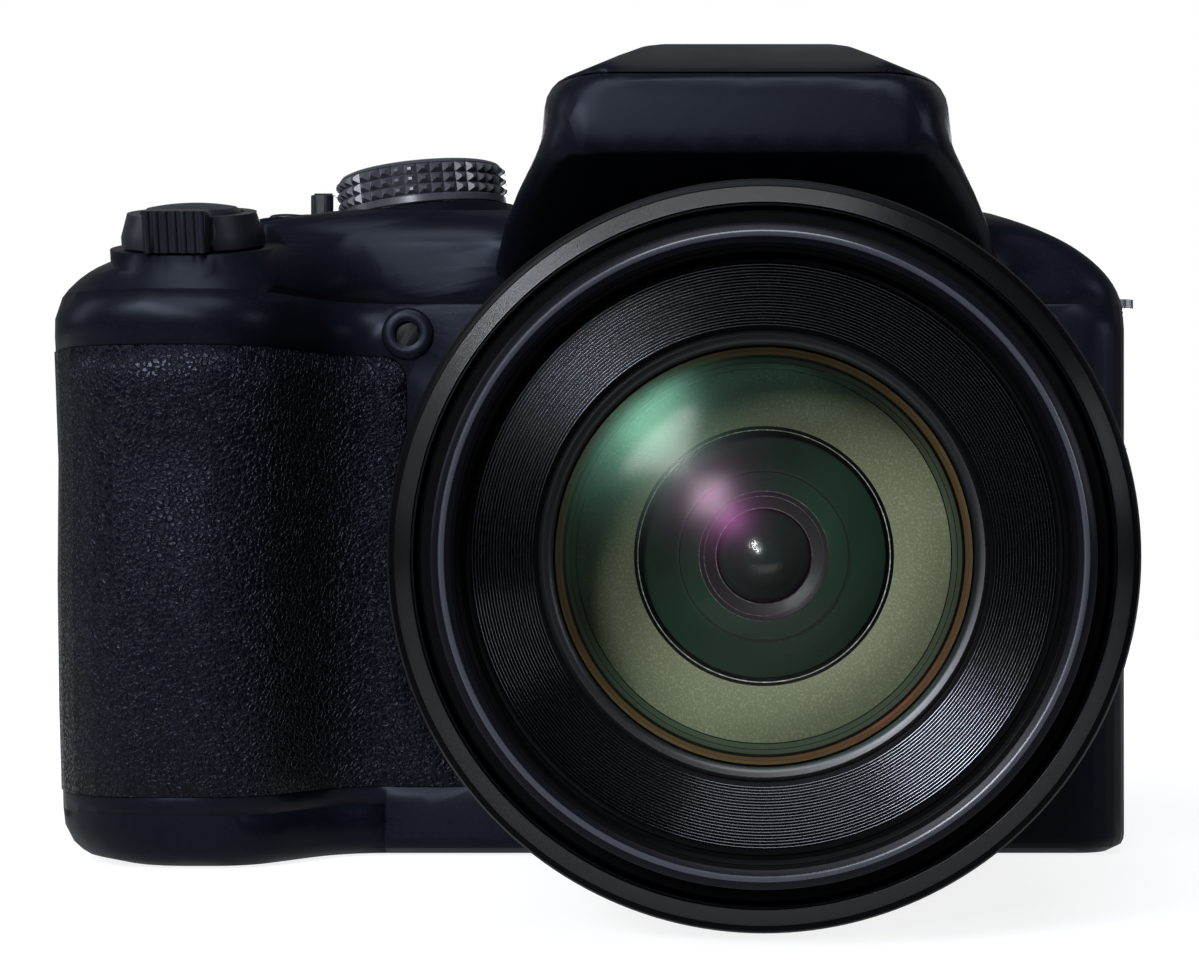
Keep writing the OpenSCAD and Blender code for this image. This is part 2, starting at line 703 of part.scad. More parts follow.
module name_ring() {
  color(trim_colour) lens_turn() polygon([[glass_r + 0.2, glass_seat], [name_r - seat, glass_seat],
    [name_r - seat, name_top], [name_r - 0.4, name_top], [glass_r + 1.5, glass_seat + 1.9],
    [glass_r + 1.2, glass_seat + 2.3], [glass_r + 0.5, glass_seat + 2.1], [glass_r + 0.2, glass_seat + 1.7]]);
}

glass_sag = 3.6;
module front_element() {
  color(glass_colour, 0.5) lens_turn() polygon(concat([[0, glass_seat - 5], [glass_r, glass_seat - 2]],
    [for (i = [0:12]) let (r = glass_r * (1 - i / 12))
      [r, glass_seat + 1.6 + glass_sag * (1 - pow(r / glass_r, 2))]]));
}

baffle_r = 12.2;
module inner_baffle() {
  color([0.33, 0.38, 0.27]) lens_turn() polygon([
    [baffle_r, glass_seat - 16], [zoom_2_in - seat, glass_seat - 16],
    [zoom_2_in - seat, glass_seat - 1 - seat], [glass_r + 0.1, glass_seat - 1 - seat],
    [glass_r + 0.1, glass_seat - 4], [glass_r - 0.3, glass_seat - 4.6], [glass_r - 0.8, glass_seat - 12.6],
    [baffle_r + 0.4, glass_seat - 13], [baffle_r, glass_seat - 13.4]]);
}

module second_element() {
  color([0.1, 0.09, 0.12], 0.7) lens_turn() polygon(concat(
    [[0, glass_seat - 18], [baffle_r - seat, glass_seat - 17.4]],
    [for (i = [0:8]) let (r = (baffle_r - seat) * (1 - i / 8))
      [r, glass_seat - 13.9 + 1.6 * (1 - pow(r / baffle_r, 2))]]));
}

// Inside

module sensor_unit() {
  color([0.15, 0.3, 0.22]) {
    translate([0, chassis_y, axis_h]) rotate([90, 0, 0]) slab(30, 26, 1, 0, 1.6);
    translate([0, chassis_y, axis_h]) rotate([90, 0, 0]) slab(16, 14, 1, 1.6, 4);
  }
}

module chassis() {
  color(metal_colour) difference() {
    union() {
      difference() {
        block(bay_x + bay_w - bay_wall, x_far - wall - 1.2, chassis_y, chassis_y + chassis_t,
          bay_z, seam_h - 2.5);
        translate([0, 0, axis_h]) rotate([-90, 0, 0]) slab(20, 9, 2, 0, 50);
      }
      block(bay_x, bay_x + bay_w, bay_y - battery_d - bay_wall - 2 * seat, bay_y + bay_wall,
        bay_z, bay_z + battery_h);
      for (x = [board_x0 + 5, board_x1 - 5], z = [board_z0 + 4, board_z1 - 4])
        translate([x, chassis_y, z]) rotate([-90, 0, 0]) rod(2, 0, board_y - chassis_y);
    }
    block(bay_x + bay_wall, bay_x + bay_wall + battery_w + 2 * seat,
      bay_y - battery_d - 2 * seat, bay_y, bay_z - 1, bay_z + battery_h - 1);
    block(bay_x + bay_w - bay_wall - card_w - 2 * seat, bay_x + bay_w - bay_wall,
      bay_y - card_d - 2 * seat, bay_y, bay_z - 1, bay_z + card_h + 1);
    translate([thumb_dial_x, thumb_dial_y, thumb_dial_z]) rod(thumb_dial_r + 1, -3, thumb_dial_h + 3);
  }
}

module battery() {
  color([0.25, 0.25, 0.27])
    translate([bay_x + bay_wall + seat + battery_w / 2, bay_y - seat - battery_d / 2, bay_z])
      slab(battery_w, battery_d, 1.5, 0, battery_h - 1 - seat);
}

module memory_card() {
  color([0.18, 0.28, 0.5])
    translate([bay_x + bay_w - bay_wall - seat - card_w, bay_y - seat - card_d, bay_z])
      rotate([90, 0, 90]) linear_extrude(card_w)
        polygon([[0, 0], [card_d, 0], [card_d, card_h], [4, card_h], [0, card_h - 4]]);
}

board_y = chassis_y + chassis_t + 2.6;
board_x0 = bay_x + bay_w + 4;
board_x1 = x_far - wall - 3;
board_z0 = base_h + 1;
board_z1 = seam_h - 5;
module main_board() {
  color([0.12, 0.35, 0.2]) {
    block(board_x0, board_x1, board_y, board_y + 1.2, board_z0, board_z1);
    for (p = [[-16, 40, 12], [6, 24, 14], [18, 46, 9]])
      translate([p.x, board_y + 1.2, p.y]) rotate([-90, 0, 0]) slab(p.z, p.z, 0.5, 0, 1);
  }
}

module lcd_panel() {
  color([0.2, 0.22, 0.24]) facing_rear(screen_x, screen_z)
    slab(screen_w - 2 * screen_lip - 2 * gap, screen_h - 2 * screen_lip - 2 * gap, 0.8,
      -glass_t - seat - 3.4, -glass_t - seat);
}

module lcd_window() {
  color([0.05, 0.05, 0.06], 0.6) facing_rear(screen_x, screen_z) slab(screen_w, screen_h, 2, -glass_t, 0.1);
}

module eyepiece_frame() {
  color(trim_colour) translate([hump_x, 0, eye_z]) rotate([-90, 0, 0]) difference() {
    union() {
      slab(eye_frame_w, eye_frame_h, 2, 6, rear_d);
      slab(eye_w, eye_h, 3, rear_d - 1, rear_d + 4.5);
    }
    slab(eye_frame_w - 3, eye_frame_h - 3, 1, 5, rear_d + 9);
    slab(eye_frame_w - 1, eye_frame_h - 1, 1.5, rear_d + 1.5, rear_d + 9);
  }
}

module eyepiece_lens() {
  color(glass_colour, 0.5) translate([hump_x, 0, eye_z]) rotate([-90, 0, 0])
    slab(eye_frame_w - 1 - 2 * seat, eye_frame_h - 1 - 2 * seat, 1.5, rear_d + 1.5, rear_d + 3.4);
}

module evf_display() {
  color([0.1, 0.1, 0.12]) translate([hump_x, 0, eye_z]) rotate([-90, 0, 0])
    slab(eye_frame_w, eye_frame_h, 2, 3.4, 6);
}

module eyecup() {
  color(rubber_colour) translate([hump_x, 0, eye_z]) rotate([-90, 0, 0]) difference() {
    loft([lifted(box_outline(eye_w + 2, eye_h + 2, 4), rear_d + 2.2),
      lifted(box_outline(eye_w + 4.4, eye_h + 4, 5), rear_d + 4.6),
      lifted(box_outline(eye_w + 4.8, eye_h + 4.4, 5.2), rear_d + eye_d - 3),
      lifted(box_outline(eye_w + 3.6, eye_h + 3.2, 5), rear_d + eye_d - 0.8),
      lifted(box_outline(eye_w + 2, eye_h + 1.6, 4), rear_d + eye_d)]);
    slab(eye_w + 2 * seat, eye_h + 2 * seat, 3, rear_d - 5, rear_d + 4.5 + seat);
    loft([lifted(box_outline(eye_frame_w + 1, eye_frame_h + 1, 2.4), rear_d + 4),
      lifted(box_outline(eye_w - 2, eye_h - 2, 4), rear_d + eye_d + 1)]);
  }
}

module flash_capacitor() {
  color([0.2, 0.16, 0.14]) translate([mount_tube_r - 3.5, chassis_y - seat - 4, seam_h - 7])
    rotate([0, 90, 0]) rod(4, 0, x_far - wall - mount_tube_r + 2);
}

module zoom_motor() {
  color(metal_colour) translate([x_far - wall - 6.2, chassis_y, base_h + 6]) rotate([90, 0, 0]) {
    rod(5, seat, 13);
    rod(1.5, 13, 16);
  }
}

module terminal_sockets() {
  color(metal_colour) for (dz = [-7, 7]) facing_far(port_y, port_z + dz) difference() {
    slab(9 - 2 * seat, 6 - 2 * seat, 1, -wall - 4, -port_t - 0.2);
    slab(7.4, 4.4, 0.8, -wall - 3, 0);
  }
}

module tripod_bush() {
  color([0.75, 0.62, 0.35]) difference() {
    union() {
      rod(bush_r, 0, bush_h);
      rod(bush_flange_r, wall, wall + bush_flange_t);
    }
    rod(tripod_r, -1, tripod_len);
  }
}

screw_r = 0.9;
screw_head_r = 1.7;
screw_places = [[x_far - 8, rear_d - 7, 0], [x_far - 8, y_front + 7, 0], [-22, rear_d - 7, 0],
  [-26, y_front + 8, 0]];
module base_screws() {
  color(metal_colour) for (p = screw_places) translate([p.x, p.y, 0]) difference() {
    union() {
      rod(screw_head_r, 0.2, 1.2);
      rod(screw_r, 1.2, 4.6);
    }
    translate([-0.25, -1.1, 0]) cube([0.5, 2.2, 0.7]);
    translate([-1.1, -0.25, 0]) cube([2.2, 0.5, 0.7]);
  }
}

// Controls on top

module shutter_button() {
  color(metal_colour) on_pod() {
    rod(shutter_d / 2 - 0.8, -6, boss_h + shutter_travel + gap);
    translate([0, 0, boss_h + shutter_travel + gap]) rotate_extrude()
      polygon(concat([[0, 0], [shutter_d / 2, 0], [shutter_d / 2, 1.4]],
        [for (i = [0:6]) let (r = (shutter_d / 2 - 0.5) * (1 - i / 6))
          [r, 2 + 0.5 * (1 - pow(r / 5, 2))]]));
  }
}

module zoom_lever() {
  inner = shutter_d / 2 + gap;
  color(trim_colour) on_pod() {
    rotate_extrude()
      polygon([[inner, gap], [lever_r, gap], [lever_r, 1.4], [lever_r - 0.8, 4], [inner, 4]]);
    translate([0, -lever_r + 0.6, gap]) {
      block(-tab_w / 2, tab_w / 2, -tab_out, 1, 0, 4.6);
      for (i = [0:tab_ribs - 1])
        translate([(i - (tab_ribs - 1) / 2) * tab_w / tab_ribs, -tab_out, 0]) rod(0.32, 0, 4.6);
    }
  }
}

// Toothed outline for knurled dials
function toothed(r, depth, count) = [for (i = [0:count - 1])
  each [turned([r - depth, 0], 360 * i / count), turned([r, 0], 360 * (i + 0.32) / count),
    turned([r, 0], 360 * (i + 0.68) / count)]];

module mode_dial() {
  r = dial_d / 2;
  color(trim_colour) on_dial() {
    rod(spindle_r, -3.4, gap + 0.2);
    rod(r - 0.1, gap, 1.3);
    translate([0, 0, 1.3]) linear_extrude(dial_h - 2.1) polygon(toothed(r, 0.55, 40));
    translate([0, 0, dial_h - 0.8]) rotate_extrude()
      polygon([[0, 0], [r - 0.5, 0], [r - 0.8, 0.6], [r - 1.2, 0.8], [r - 2.2, 0.8], [r - 2.5, 0.6],
        [0, 0.6]]);
  }
}

module power_switch() {
  color(trim_colour) translate([switch_x, switch_travel / 2, plate_h - switch_sink + gap]) {
    slab(switch_w, switch_len, 1, 0, switch_h);
    for (dy = [-1.6, 0, 1.6]) translate([0, dy, switch_h]) rotate([0, 90, 0])
      rod(0.45, -switch_w / 2 + 0.3, switch_w / 2 - 0.3);
  }
}

module push_button(height) {
  rod(button_d / 2, -height, -0.5);
  translate([0, 0, -0.5]) rotate_extrude() polygon([[0, 0], [button_d / 2, 0], [button_d / 2, 0.3],
    [button_d / 2 - 0.4, 0.7], [0, 0.9]]);
  rod(button_d / 2 + gap + flange, -height, -height + 0.9);
}

button_height = 5.6;
module movie_button() { color(metal_colour) translate(movie_at) push_button(button_height); }
module fn_button() { color(trim_colour) translate(fn_at) push_button(button_height + 1.2); }

// Controls at the rear

module rear_button(p) {
  facing_rear(p.x, p.y) translate([0, 0, 0.5]) push_button(wall + 0.5 + 0.9 + button_travel);
}
module lvf_button() { color(trim_colour) rear_button(lvf_at); }
module ae_lock_button() { color(trim_colour) rear_button(lock_at); }
module playback_button() { color(trim_colour) rear_button(play_at); }
module quick_menu_button() { color(trim_colour) rear_button(menu_at); }
module display_button() { color(trim_colour) rear_button(disp_at); }

module key(turn) {
  color(trim_colour) facing_rear(rear_col, key_z) rotate([0, 0, turn - 41])
    rotate_extrude(angle = 82) polygon([[key_in, -wall - 1], [key_out, -wall - 1], [key_out, 0.4],
      [key_out - 0.5, 0.8], [key_in, 0.5]]);
}
module key_right() { key(0); }
module key_down() { key(90); }
module key_left() { key(180); }
module key_up() { key(270); }
module set_button() {
  color(trim_colour) facing_rear(rear_col, key_z) {
    rod(set_r, -wall - 1, 0.6);
    rod(set_r - 0.5, 0.6, 0.9);
  }
}

module rear_dial() {
  color(trim_colour) translate([thumb_dial_x, thumb_dial_y, thumb_dial_z]) difference() {
    linear_extrude(thumb_dial_h) polygon(toothed(thumb_dial_r, 0.4, 36));
    rod(1.3 + seat, -1, thumb_dial_h + 1);
  }
}

// Controls on the far side of the hump
side_x = hump_x + hump_r;
diopter_r = 4.2;
diopter_x = side_x - 4.4;
diopter_y = rear_d - 7;
diopter_z = eye_z + 0.4;
module on_diopter() { translate([diopter_x, diopter_y, diopter_z]) rotate([0, 90, 0]) children(); }
module diopter_pocket() {
  on_diopter() rod(diopter_r + gap, -gap, 10);
  on_diopter() rod(1 + seat, -3, 1);
}
module diopter_dial() {
  color(trim_colour) on_diopter() {
    rod(1, -2.7, 0.5);
    linear_extrude(2.6) polygon(toothed(diopter_r, 0.3, 24));
    rod(diopter_r - 0.7, 2.6, 2.9);
  }
}

flash_button_r = 2.4;
module on_flash_button() { translate([side_x - 3.6, 0, eye_z + 1.6]) rotate([0, 90, 0]) children(); }
module flash_button_hole() { on_flash_button() rod(flash_button_r + gap, -button_travel - gap, 10); }
module flash_button() {
  color(trim_colour) on_flash_button() {
    rod(flash_button_r, 0, 3.6);
    rod(flash_button_r - 0.4, 3.6, 3.9);
  }
}

// Pop-up flash: the front of the hump's top, on a hinge with a rounded back edge
flash_hinge_z = flash_z + 2.2;
flash_back_r = hump_h - flash_hinge_z;
flash_axle_r = 1;
post_x = 10.5;
post_w = 3;
lamp_front = y_front - hump_d + 3.5;
lamp_drop = 1.5;
lamp_len = 9;
module across(x0, x1) { translate([x0, 0, 0]) rotate([90, 0, 90]) linear_extrude(x1 - x0) children(); }
module on_flash_axle() { translate([hump_x, flash_hinge_y, flash_hinge_z]) rotate([0, 90, 0]) children(); }
module flash_space(low, grow) {
  translate([-60, -100, low]) cube([120, 100 + flash_hinge_y, 60]);
  on_flash_axle() rod(flash_back_r + grow, -60, 60);
}
module lamp_profile(grow) {
  polygon([[lamp_front - 3 * grow, flash_z + 1], [lamp_front - 3 * grow, flash_z - lamp_drop - 2 * grow],
    [lamp_front + lamp_len - grow, flash_z - lamp_drop - lamp_h - 3 * grow],
    [lamp_front + lamp_len + 3 * grow, flash_z - lamp_drop - lamp_h - 3 * grow],
    [lamp_front + lamp_len + 3 * grow, flash_z + 1]]);
}
module flash_post(side) {
  translate([hump_x + side * post_x - post_w / 2, flash_hinge_y, flash_hinge_z]) {
    rotate([0, 90, 0]) rod(1.8, 0, post_w);
    block(0, post_w, -1.8, 1.8, -flash_back_r - 2, 0);
  }
}
module flash_well() {
  flash_axle_hole = flash_axle_r + seat;
  difference() {
    union() {
      flash_space(flash_z, gap);
      translate([0, flash_hinge_y, flash_hinge_z]) rotate([-flash_open, 0, 0])
        block(-60, 60, -10, 0, 0, flash_back_r + gap);
    }
    for (side = [-1, 1]) flash_post(side);
  }
  across(hump_x - lamp_w / 2 - 2 * gap, hump_x + lamp_w / 2 + 2 * gap) lamp_profile(0.5);
  on_flash_axle() rod(flash_axle_hole, -post_x - 5, post_x + 5);
}
module flash_head() {
  color(shell_colour) {
    difference() {
      intersection() {
        hump_form();
        flash_space(flash_z + gap, 0);
      }
      for (side = [-1, 1]) translate([hump_x + side * post_x, flash_hinge_y, flash_hinge_z])
        block(-post_w / 2 - gap, post_w / 2 + gap, -1.8 - gap, 20, -20, 1.8 + gap);
    }
    across(hump_x - lamp_w / 2, hump_x + lamp_w / 2) lamp_profile(0);
    on_flash_axle() rod(flash_axle_r, -post_x - 3, post_x + 3);
  }
}
lamp_slope = atan2(lamp_h, lamp_len);
module flash_window() {
  color([0.85, 0.87, 0.9], 0.6)
    translate([hump_x, lamp_front + lamp_len / 2, flash_z - lamp_drop - lamp_h / 2])
      rotate([-lamp_slope, 0, 0]) slab(lamp_w - 2, lamp_len * 0.8, 0.6, -0.8, 0);
}

module terminal_door() {
  color(rubber_colour) {
    facing_far(port_y, port_z) slab(port_w, port_h, 1.8, -port_t, 0);
    on_port_hinge() rod(port_bead_r, -port_bead_len / 2, port_bead_len / 2);
  }
}

function knuckle_y(k) = door_y0 + k * (door_y1 - door_y0);

module battery_door() {
  color(shell_colour) difference() {
    union() {
      block(door_x0, door_x1, door_y0, door_y1, 0, door_t);
      for (k = knuckles) translate([hinge_x, knuckle_y(k), knuckle_r]) {
        rotate([90, 0, 0]) rod(knuckle_r, -knuckle_len / 2, knuckle_len / 2);
        block(-knuckle_r - gap - 0.5, 0, -knuckle_len / 2, knuckle_len / 2, -0.5, 0.5);
      }
    }
    translate([hinge_x, 0, knuckle_r]) rotate([90, 0, 0]) rod(pin_r + seat, -100, 100);
    latch_pocket();
  }
}

latch_w = 4;
latch_len = 9;
latch_travel = 3;
latch_t = 1.1;
latch_x = door_x0 + 4;
latch_y = (door_y0 + door_y1) / 2;
module latch_pocket() {
  translate([latch_x, latch_y, 0])
    slab(latch_w + 2 * gap, latch_len + latch_travel + 2 * gap, 0.8, -1, latch_t);
}
module battery_latch() {
  color(trim_colour) translate([latch_x, latch_y - latch_travel / 2, 0]) difference() {
    slab(latch_w, latch_len, 0.6, 0.1, latch_t - seat);
    for (dy = [-2, 0, 2]) translate([0, dy, 0.1]) rotate([0, 90, 0]) rod(0.3, -latch_w, latch_w);
  }
}

module battery_door_pin() {
  color(metal_colour) translate([hinge_x, 0, knuckle_r]) rotate([90, 0, 0])
    rod(pin_r, -door_y1 + gap, -door_y0 - gap);
}

front_shell();
rear_shell();
top_cover();
bottom_cover();
grip_rubber();
thumb_rest();
lens_base_ring();
fixed_barrel();
lens_mount();
rear_element();
sensor_unit();
chassis();
tripod_bush();
main_board();
lcd_panel();
lcd_window();
eyepiece_frame();
eyecup();
eyepiece_lens();
evf_display();
battery();
memory_card();
flash_capacitor();
zoom_motor();
strap_lugs();
af_lamp_lens();
terminal_sockets();
base_screws();
shutter_button();
zoom_lever();
mode_dial();
power_switch();
movie_button();
fn_button();
rear_dial();
lvf_button();
ae_lock_button();
playback_button();
quick_menu_button();
display_button();
key_up();
key_down();
key_left();
key_right();
set_button();
flash_head();
flash_window();
flash_button();
diopter_dial();
terminal_door();
battery_door();
battery_door_pin();
battery_latch();
zoom_barrel_1();
zoom_barrel_2();
name_ring();
front_element();
inner_baffle();
second_element();
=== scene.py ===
"""Bridge camera seen straight on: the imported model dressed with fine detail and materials."""
import json
import math

import bmesh
import bpy
import numpy as np
from mathutils import Matrix, Vector


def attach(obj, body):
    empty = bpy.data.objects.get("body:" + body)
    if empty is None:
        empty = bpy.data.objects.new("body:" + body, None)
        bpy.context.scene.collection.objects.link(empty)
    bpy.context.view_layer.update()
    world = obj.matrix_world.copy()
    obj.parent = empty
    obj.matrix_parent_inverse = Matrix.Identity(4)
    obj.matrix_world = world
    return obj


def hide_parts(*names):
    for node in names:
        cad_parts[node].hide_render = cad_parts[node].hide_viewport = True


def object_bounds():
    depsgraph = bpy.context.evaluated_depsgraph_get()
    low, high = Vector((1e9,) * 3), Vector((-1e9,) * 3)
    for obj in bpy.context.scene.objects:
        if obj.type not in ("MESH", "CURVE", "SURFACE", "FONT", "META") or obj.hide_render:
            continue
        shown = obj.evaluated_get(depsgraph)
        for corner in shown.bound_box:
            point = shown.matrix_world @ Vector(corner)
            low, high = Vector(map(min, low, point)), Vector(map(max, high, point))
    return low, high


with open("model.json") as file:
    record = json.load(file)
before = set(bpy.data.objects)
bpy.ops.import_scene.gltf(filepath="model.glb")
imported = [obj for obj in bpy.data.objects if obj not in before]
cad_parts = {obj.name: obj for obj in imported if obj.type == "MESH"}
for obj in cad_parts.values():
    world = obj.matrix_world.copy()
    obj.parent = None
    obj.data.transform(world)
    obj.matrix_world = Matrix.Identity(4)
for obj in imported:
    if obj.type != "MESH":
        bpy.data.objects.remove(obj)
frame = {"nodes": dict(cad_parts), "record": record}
cad_low, cad_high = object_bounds()
bodies = frame["record"]["behaviour"]["bodies"]
body_of = {node: body for body, members in bodies.items() for node in members}
slot_of = {row["node"]: row["material_slot"] for row in frame["record"]["subparts"]}

MM = 0.001
SCALE = Matrix.Scale(MM, 4)
# Height of the lens axis in millimetres, place of the mode dial in metres, and the dial's lean in degrees
AXIS_H = 35.0
DIAL_PLACE = (-0.042, 0, 0.077)
DIAL_LEAN = -6.5
# Frames of the lens, whose z runs ahead along its axis, and of the mode dial
AHEAD = Matrix.Rotation(math.radians(90), 4, "X")
LENS = Matrix.Translation((0, 0, AXIS_H * MM)) @ AHEAD
DIAL = Matrix.Translation(DIAL_PLACE) @ Matrix.Rotation(math.radians(DIAL_LEAN), 4, "Y")


# Shader building


def put(tree, kind, inputs=None, **settings):
    """Adds a node; an input that is a socket is joined, and any other value is set."""
    made = tree.nodes.new(kind)
    for key, value in settings.items():
        setattr(made, key, value)
    for key, value in (inputs or {}).items():
        if isinstance(value, bpy.types.NodeSocket):
            tree.links.new(value, made.inputs[key])
        else:
            made.inputs[key].default_value = value
    return made


def sums(tree, operation, *values):
    return put(tree, "ShaderNodeMath", dict(enumerate(values)), operation=operation).outputs[0]


def mixed(tree, share, first, second):
    made = put(tree, "ShaderNodeMix", {0: share, 6: first, 7: second}, data_type="RGBA")
    return made.outputs[2]


def between(tree, value, low, high, to_low=0.0, to_high=1.0):
    inputs = {0: value, 1: low, 2: high, 3: to_low, 4: to_high}
    made = put(tree, "ShaderNodeMapRange", inputs, interpolation_type="SMOOTHSTEP")
    return made.outputs[0]


def new_group(name, ins, outs):
    """Empty shader group with float inputs, and outputs that are floats, colours or vectors."""
    tree = bpy.data.node_groups.new(name, "ShaderNodeTree")
    for label, value in ins.items():
        socket = tree.interface.new_socket(label, in_out="INPUT", socket_type="NodeSocketFloat")
        socket.default_value = value
    for label, kind in outs.items():
        tree.interface.new_socket(label, in_out="OUTPUT", socket_type="NodeSocket" + kind)
    return tree, tree.nodes.new("NodeGroupInput").outputs, tree.nodes.new("NodeGroupOutput").inputs


def grain_group():
    """Spark-eroded grain of moulded plastic: bump, a fine speckle and a slow change of tone."""
    tree, ins, outs = new_group("Moulded grain", {"Grains per metre": 4200.0, "Depth": 0.00001},
                                {"Normal": "Vector", "Speckle": "Float", "Tone": "Float"})
    place = put(tree, "ShaderNodeTexCoord").outputs["Object"]
    fine = put(tree, "ShaderNodeTexNoise", {"Vector": place, "Scale": ins["Grains per metre"], "Detail": 1.0})
    slow = put(tree, "ShaderNodeTexNoise", {"Vector": place, "Scale": 60.0, "Detail": 3.0})
    bump = put(tree, "ShaderNodeBump", {"Strength": 0.6, "Distance": ins["Depth"], "Height": fine.outputs[0]})
    tree.links.new(bump.outputs["Normal"], outs["Normal"])
    tree.links.new(between(tree, fine.outputs[0], 0.45, 0.75), outs["Speckle"])
    tree.links.new(slow.outputs[0], outs["Tone"])
    return tree


def leather_group():
    """Wrinkled leather grain of the grip rubber: bump, and a mask of the creases."""
    tree, ins, outs = new_group("Leather", {"Pebbles per metre": 1450.0, "Depth": 0.00017},
                                {"Normal": "Vector", "Crease": "Float"})
    place = put(tree, "ShaderNodeTexCoord").outputs["Object"]
    warp = put(tree, "ShaderNodeTexNoise", {"Vector": place, "Scale": 1200.0, "Detail": 2.0})
    shift = put(tree, "ShaderNodeVectorMath", {0: warp.outputs["Color"], 1: (0.0009, 0.0009, 0.0009)},
                operation="MULTIPLY").outputs[0]
    moved = put(tree, "ShaderNodeVectorMath", {0: place, 1: shift}, operation="ADD").outputs[0]
    cells = put(tree, "ShaderNodeTexVoronoi", {"Vector": moved, "Scale": ins["Pebbles per metre"]},
                feature="DISTANCE_TO_EDGE")
    fine = put(tree, "ShaderNodeTexNoise", {"Vector": place, "Scale": 2600.0, "Detail": 3.0})
    pebble = between(tree, cells.outputs["Distance"], 0.0, 0.22)
    height = sums(tree, "MULTIPLY_ADD", fine.outputs[0], 0.55, pebble)
    bump = put(tree, "ShaderNodeBump", {"Strength": 0.9, "Distance": ins["Depth"], "Height": height})
    tree.links.new(bump.outputs["Normal"], outs["Normal"])
    tree.links.new(sums(tree, "SUBTRACT", 1.0, pebble), outs["Crease"])
    return tree


def turned_group():
    """Fine lathe marks round the lens axis: bump, a soft streak mask, and the distance from the axis."""
    tree, ins, outs = new_group("Turned rings", {"Marks per metre": 5200.0, "Depth": 0.000008},
                                {"Normal": "Vector", "Mark": "Float", "Radius": "Float"})
    place = put(tree, "ShaderNodeTexCoord").outputs["Object"]
    flat = put(tree, "ShaderNodeVectorMath", {0: place, 1: (0, 0, AXIS_H * MM)}, operation="SUBTRACT")
    cut = put(tree, "ShaderNodeVectorMath", {0: flat.outputs[0], 1: (1, 0, 1)}, operation="MULTIPLY")
    radius = put(tree, "ShaderNodeVectorMath", {0: cut.outputs[0]}, operation="LENGTH").outputs["Value"]
    depth = put(tree, "ShaderNodeSeparateXYZ", {0: place}).outputs["Y"]
    along = sums(tree, "ADD", radius, depth)
    mark = put(tree, "ShaderNodeTexNoise", {"W": along, "Scale": ins["Marks per metre"], "Detail": 2.0},
               noise_dimensions="1D")
    bump = put(tree, "ShaderNodeBump", {"Strength": 0.6, "Distance": ins["Depth"], "Height": mark.outputs[0]})
    tree.links.new(bump.outputs["Normal"], outs["Normal"])
    tree.links.new(mark.outputs[0], outs["Mark"])
    tree.links.new(radius, outs["Radius"])
    return tree


GRAIN = grain_group()
LEATHER = leather_group()
TURNED = turned_group()
# Tints of the reflections
WHITE = (1, 1, 1, 1)
BLUISH = (0.7, 0.79, 1.0, 1)


def new_material(name):
    made = bpy.data.materials.new(name)
    made.use_nodes = True
    made.node_tree.nodes.clear()
    return made, made.node_tree


def close(tree, shader):
    put(tree, "ShaderNodeOutputMaterial", {"Surface": shader})


def use(tree, group, inputs=None):
    made = put(tree, "ShaderNodeGroup", node_tree=group)
    for key, value in (inputs or {}).items():
        made.inputs[key].default_value = value
    return made.outputs


def plastic(name, colour, bright, rough, grains=4200.0, depth=0.00001, metal=0.0, gloss=0.5, sheen=WHITE):
    """Moulded or coated surface with a fine grain, whose speckles take the bright colour."""
    made, tree = new_material(name)
    grain = use(tree, GRAIN, {"Grains per metre": grains, "Depth": depth})
    tint = mixed(tree, grain["Speckle"], (*colour, 1), (*bright, 1))
    shine = between(tree, grain["Tone"], 0.3, 0.7, rough - 0.05, rough + 0.05)
    shader = put(tree, "ShaderNodeBsdfPrincipled", {
        "Base Color": tint, "Roughness": shine, "Normal": grain["Normal"], "Metallic": metal,
        "Specular IOR Level": gloss, "Specular Tint": sheen})
    close(tree, shader.outputs[0])
    return made


def leather():
    """Wrinkled rubber of the grip, dark and dull in its creases; the dark there is painted shade."""
    made, tree = new_material("Grip rubber")
    hide = use(tree, LEATHER)
    # The creases take a much darker colour: painted shade in the wrinkles
    tint = mixed(tree, hide["Crease"], (0.0026, 0.0031, 0.0058, 1), (0.0005, 0.0006, 0.0011, 1))
    shine = between(tree, hide["Crease"], 0.0, 1.0, 0.21, 0.5)
    shader = put(tree, "ShaderNodeBsdfPrincipled", {
        "Base Color": tint, "Roughness": shine, "Normal": hide["Normal"], "Specular IOR Level": 0.2,
        "Specular Tint": BLUISH})
    close(tree, shader.outputs[0])
    return made


def turned(name, colour, rough, metal=0.0, marks=5200.0, depth=0.000008, gloss=0.5):
    """Lathe-turned surface round the lens axis."""
    made, tree = new_material(name)
    ring = use(tree, TURNED, {"Marks per metre": marks, "Depth": depth})
    dark = tuple(0.8 * c for c in colour)
    tint = mixed(tree, ring["Mark"], (*dark, 1), (*colour, 1))
    shader = put(tree, "ShaderNodeBsdfPrincipled", {
        "Base Color": tint, "Roughness": rough, "Metallic": metal, "Normal": ring["Normal"],
        "Specular IOR Level": gloss})
    close(tree, shader.outputs[0])
    return made


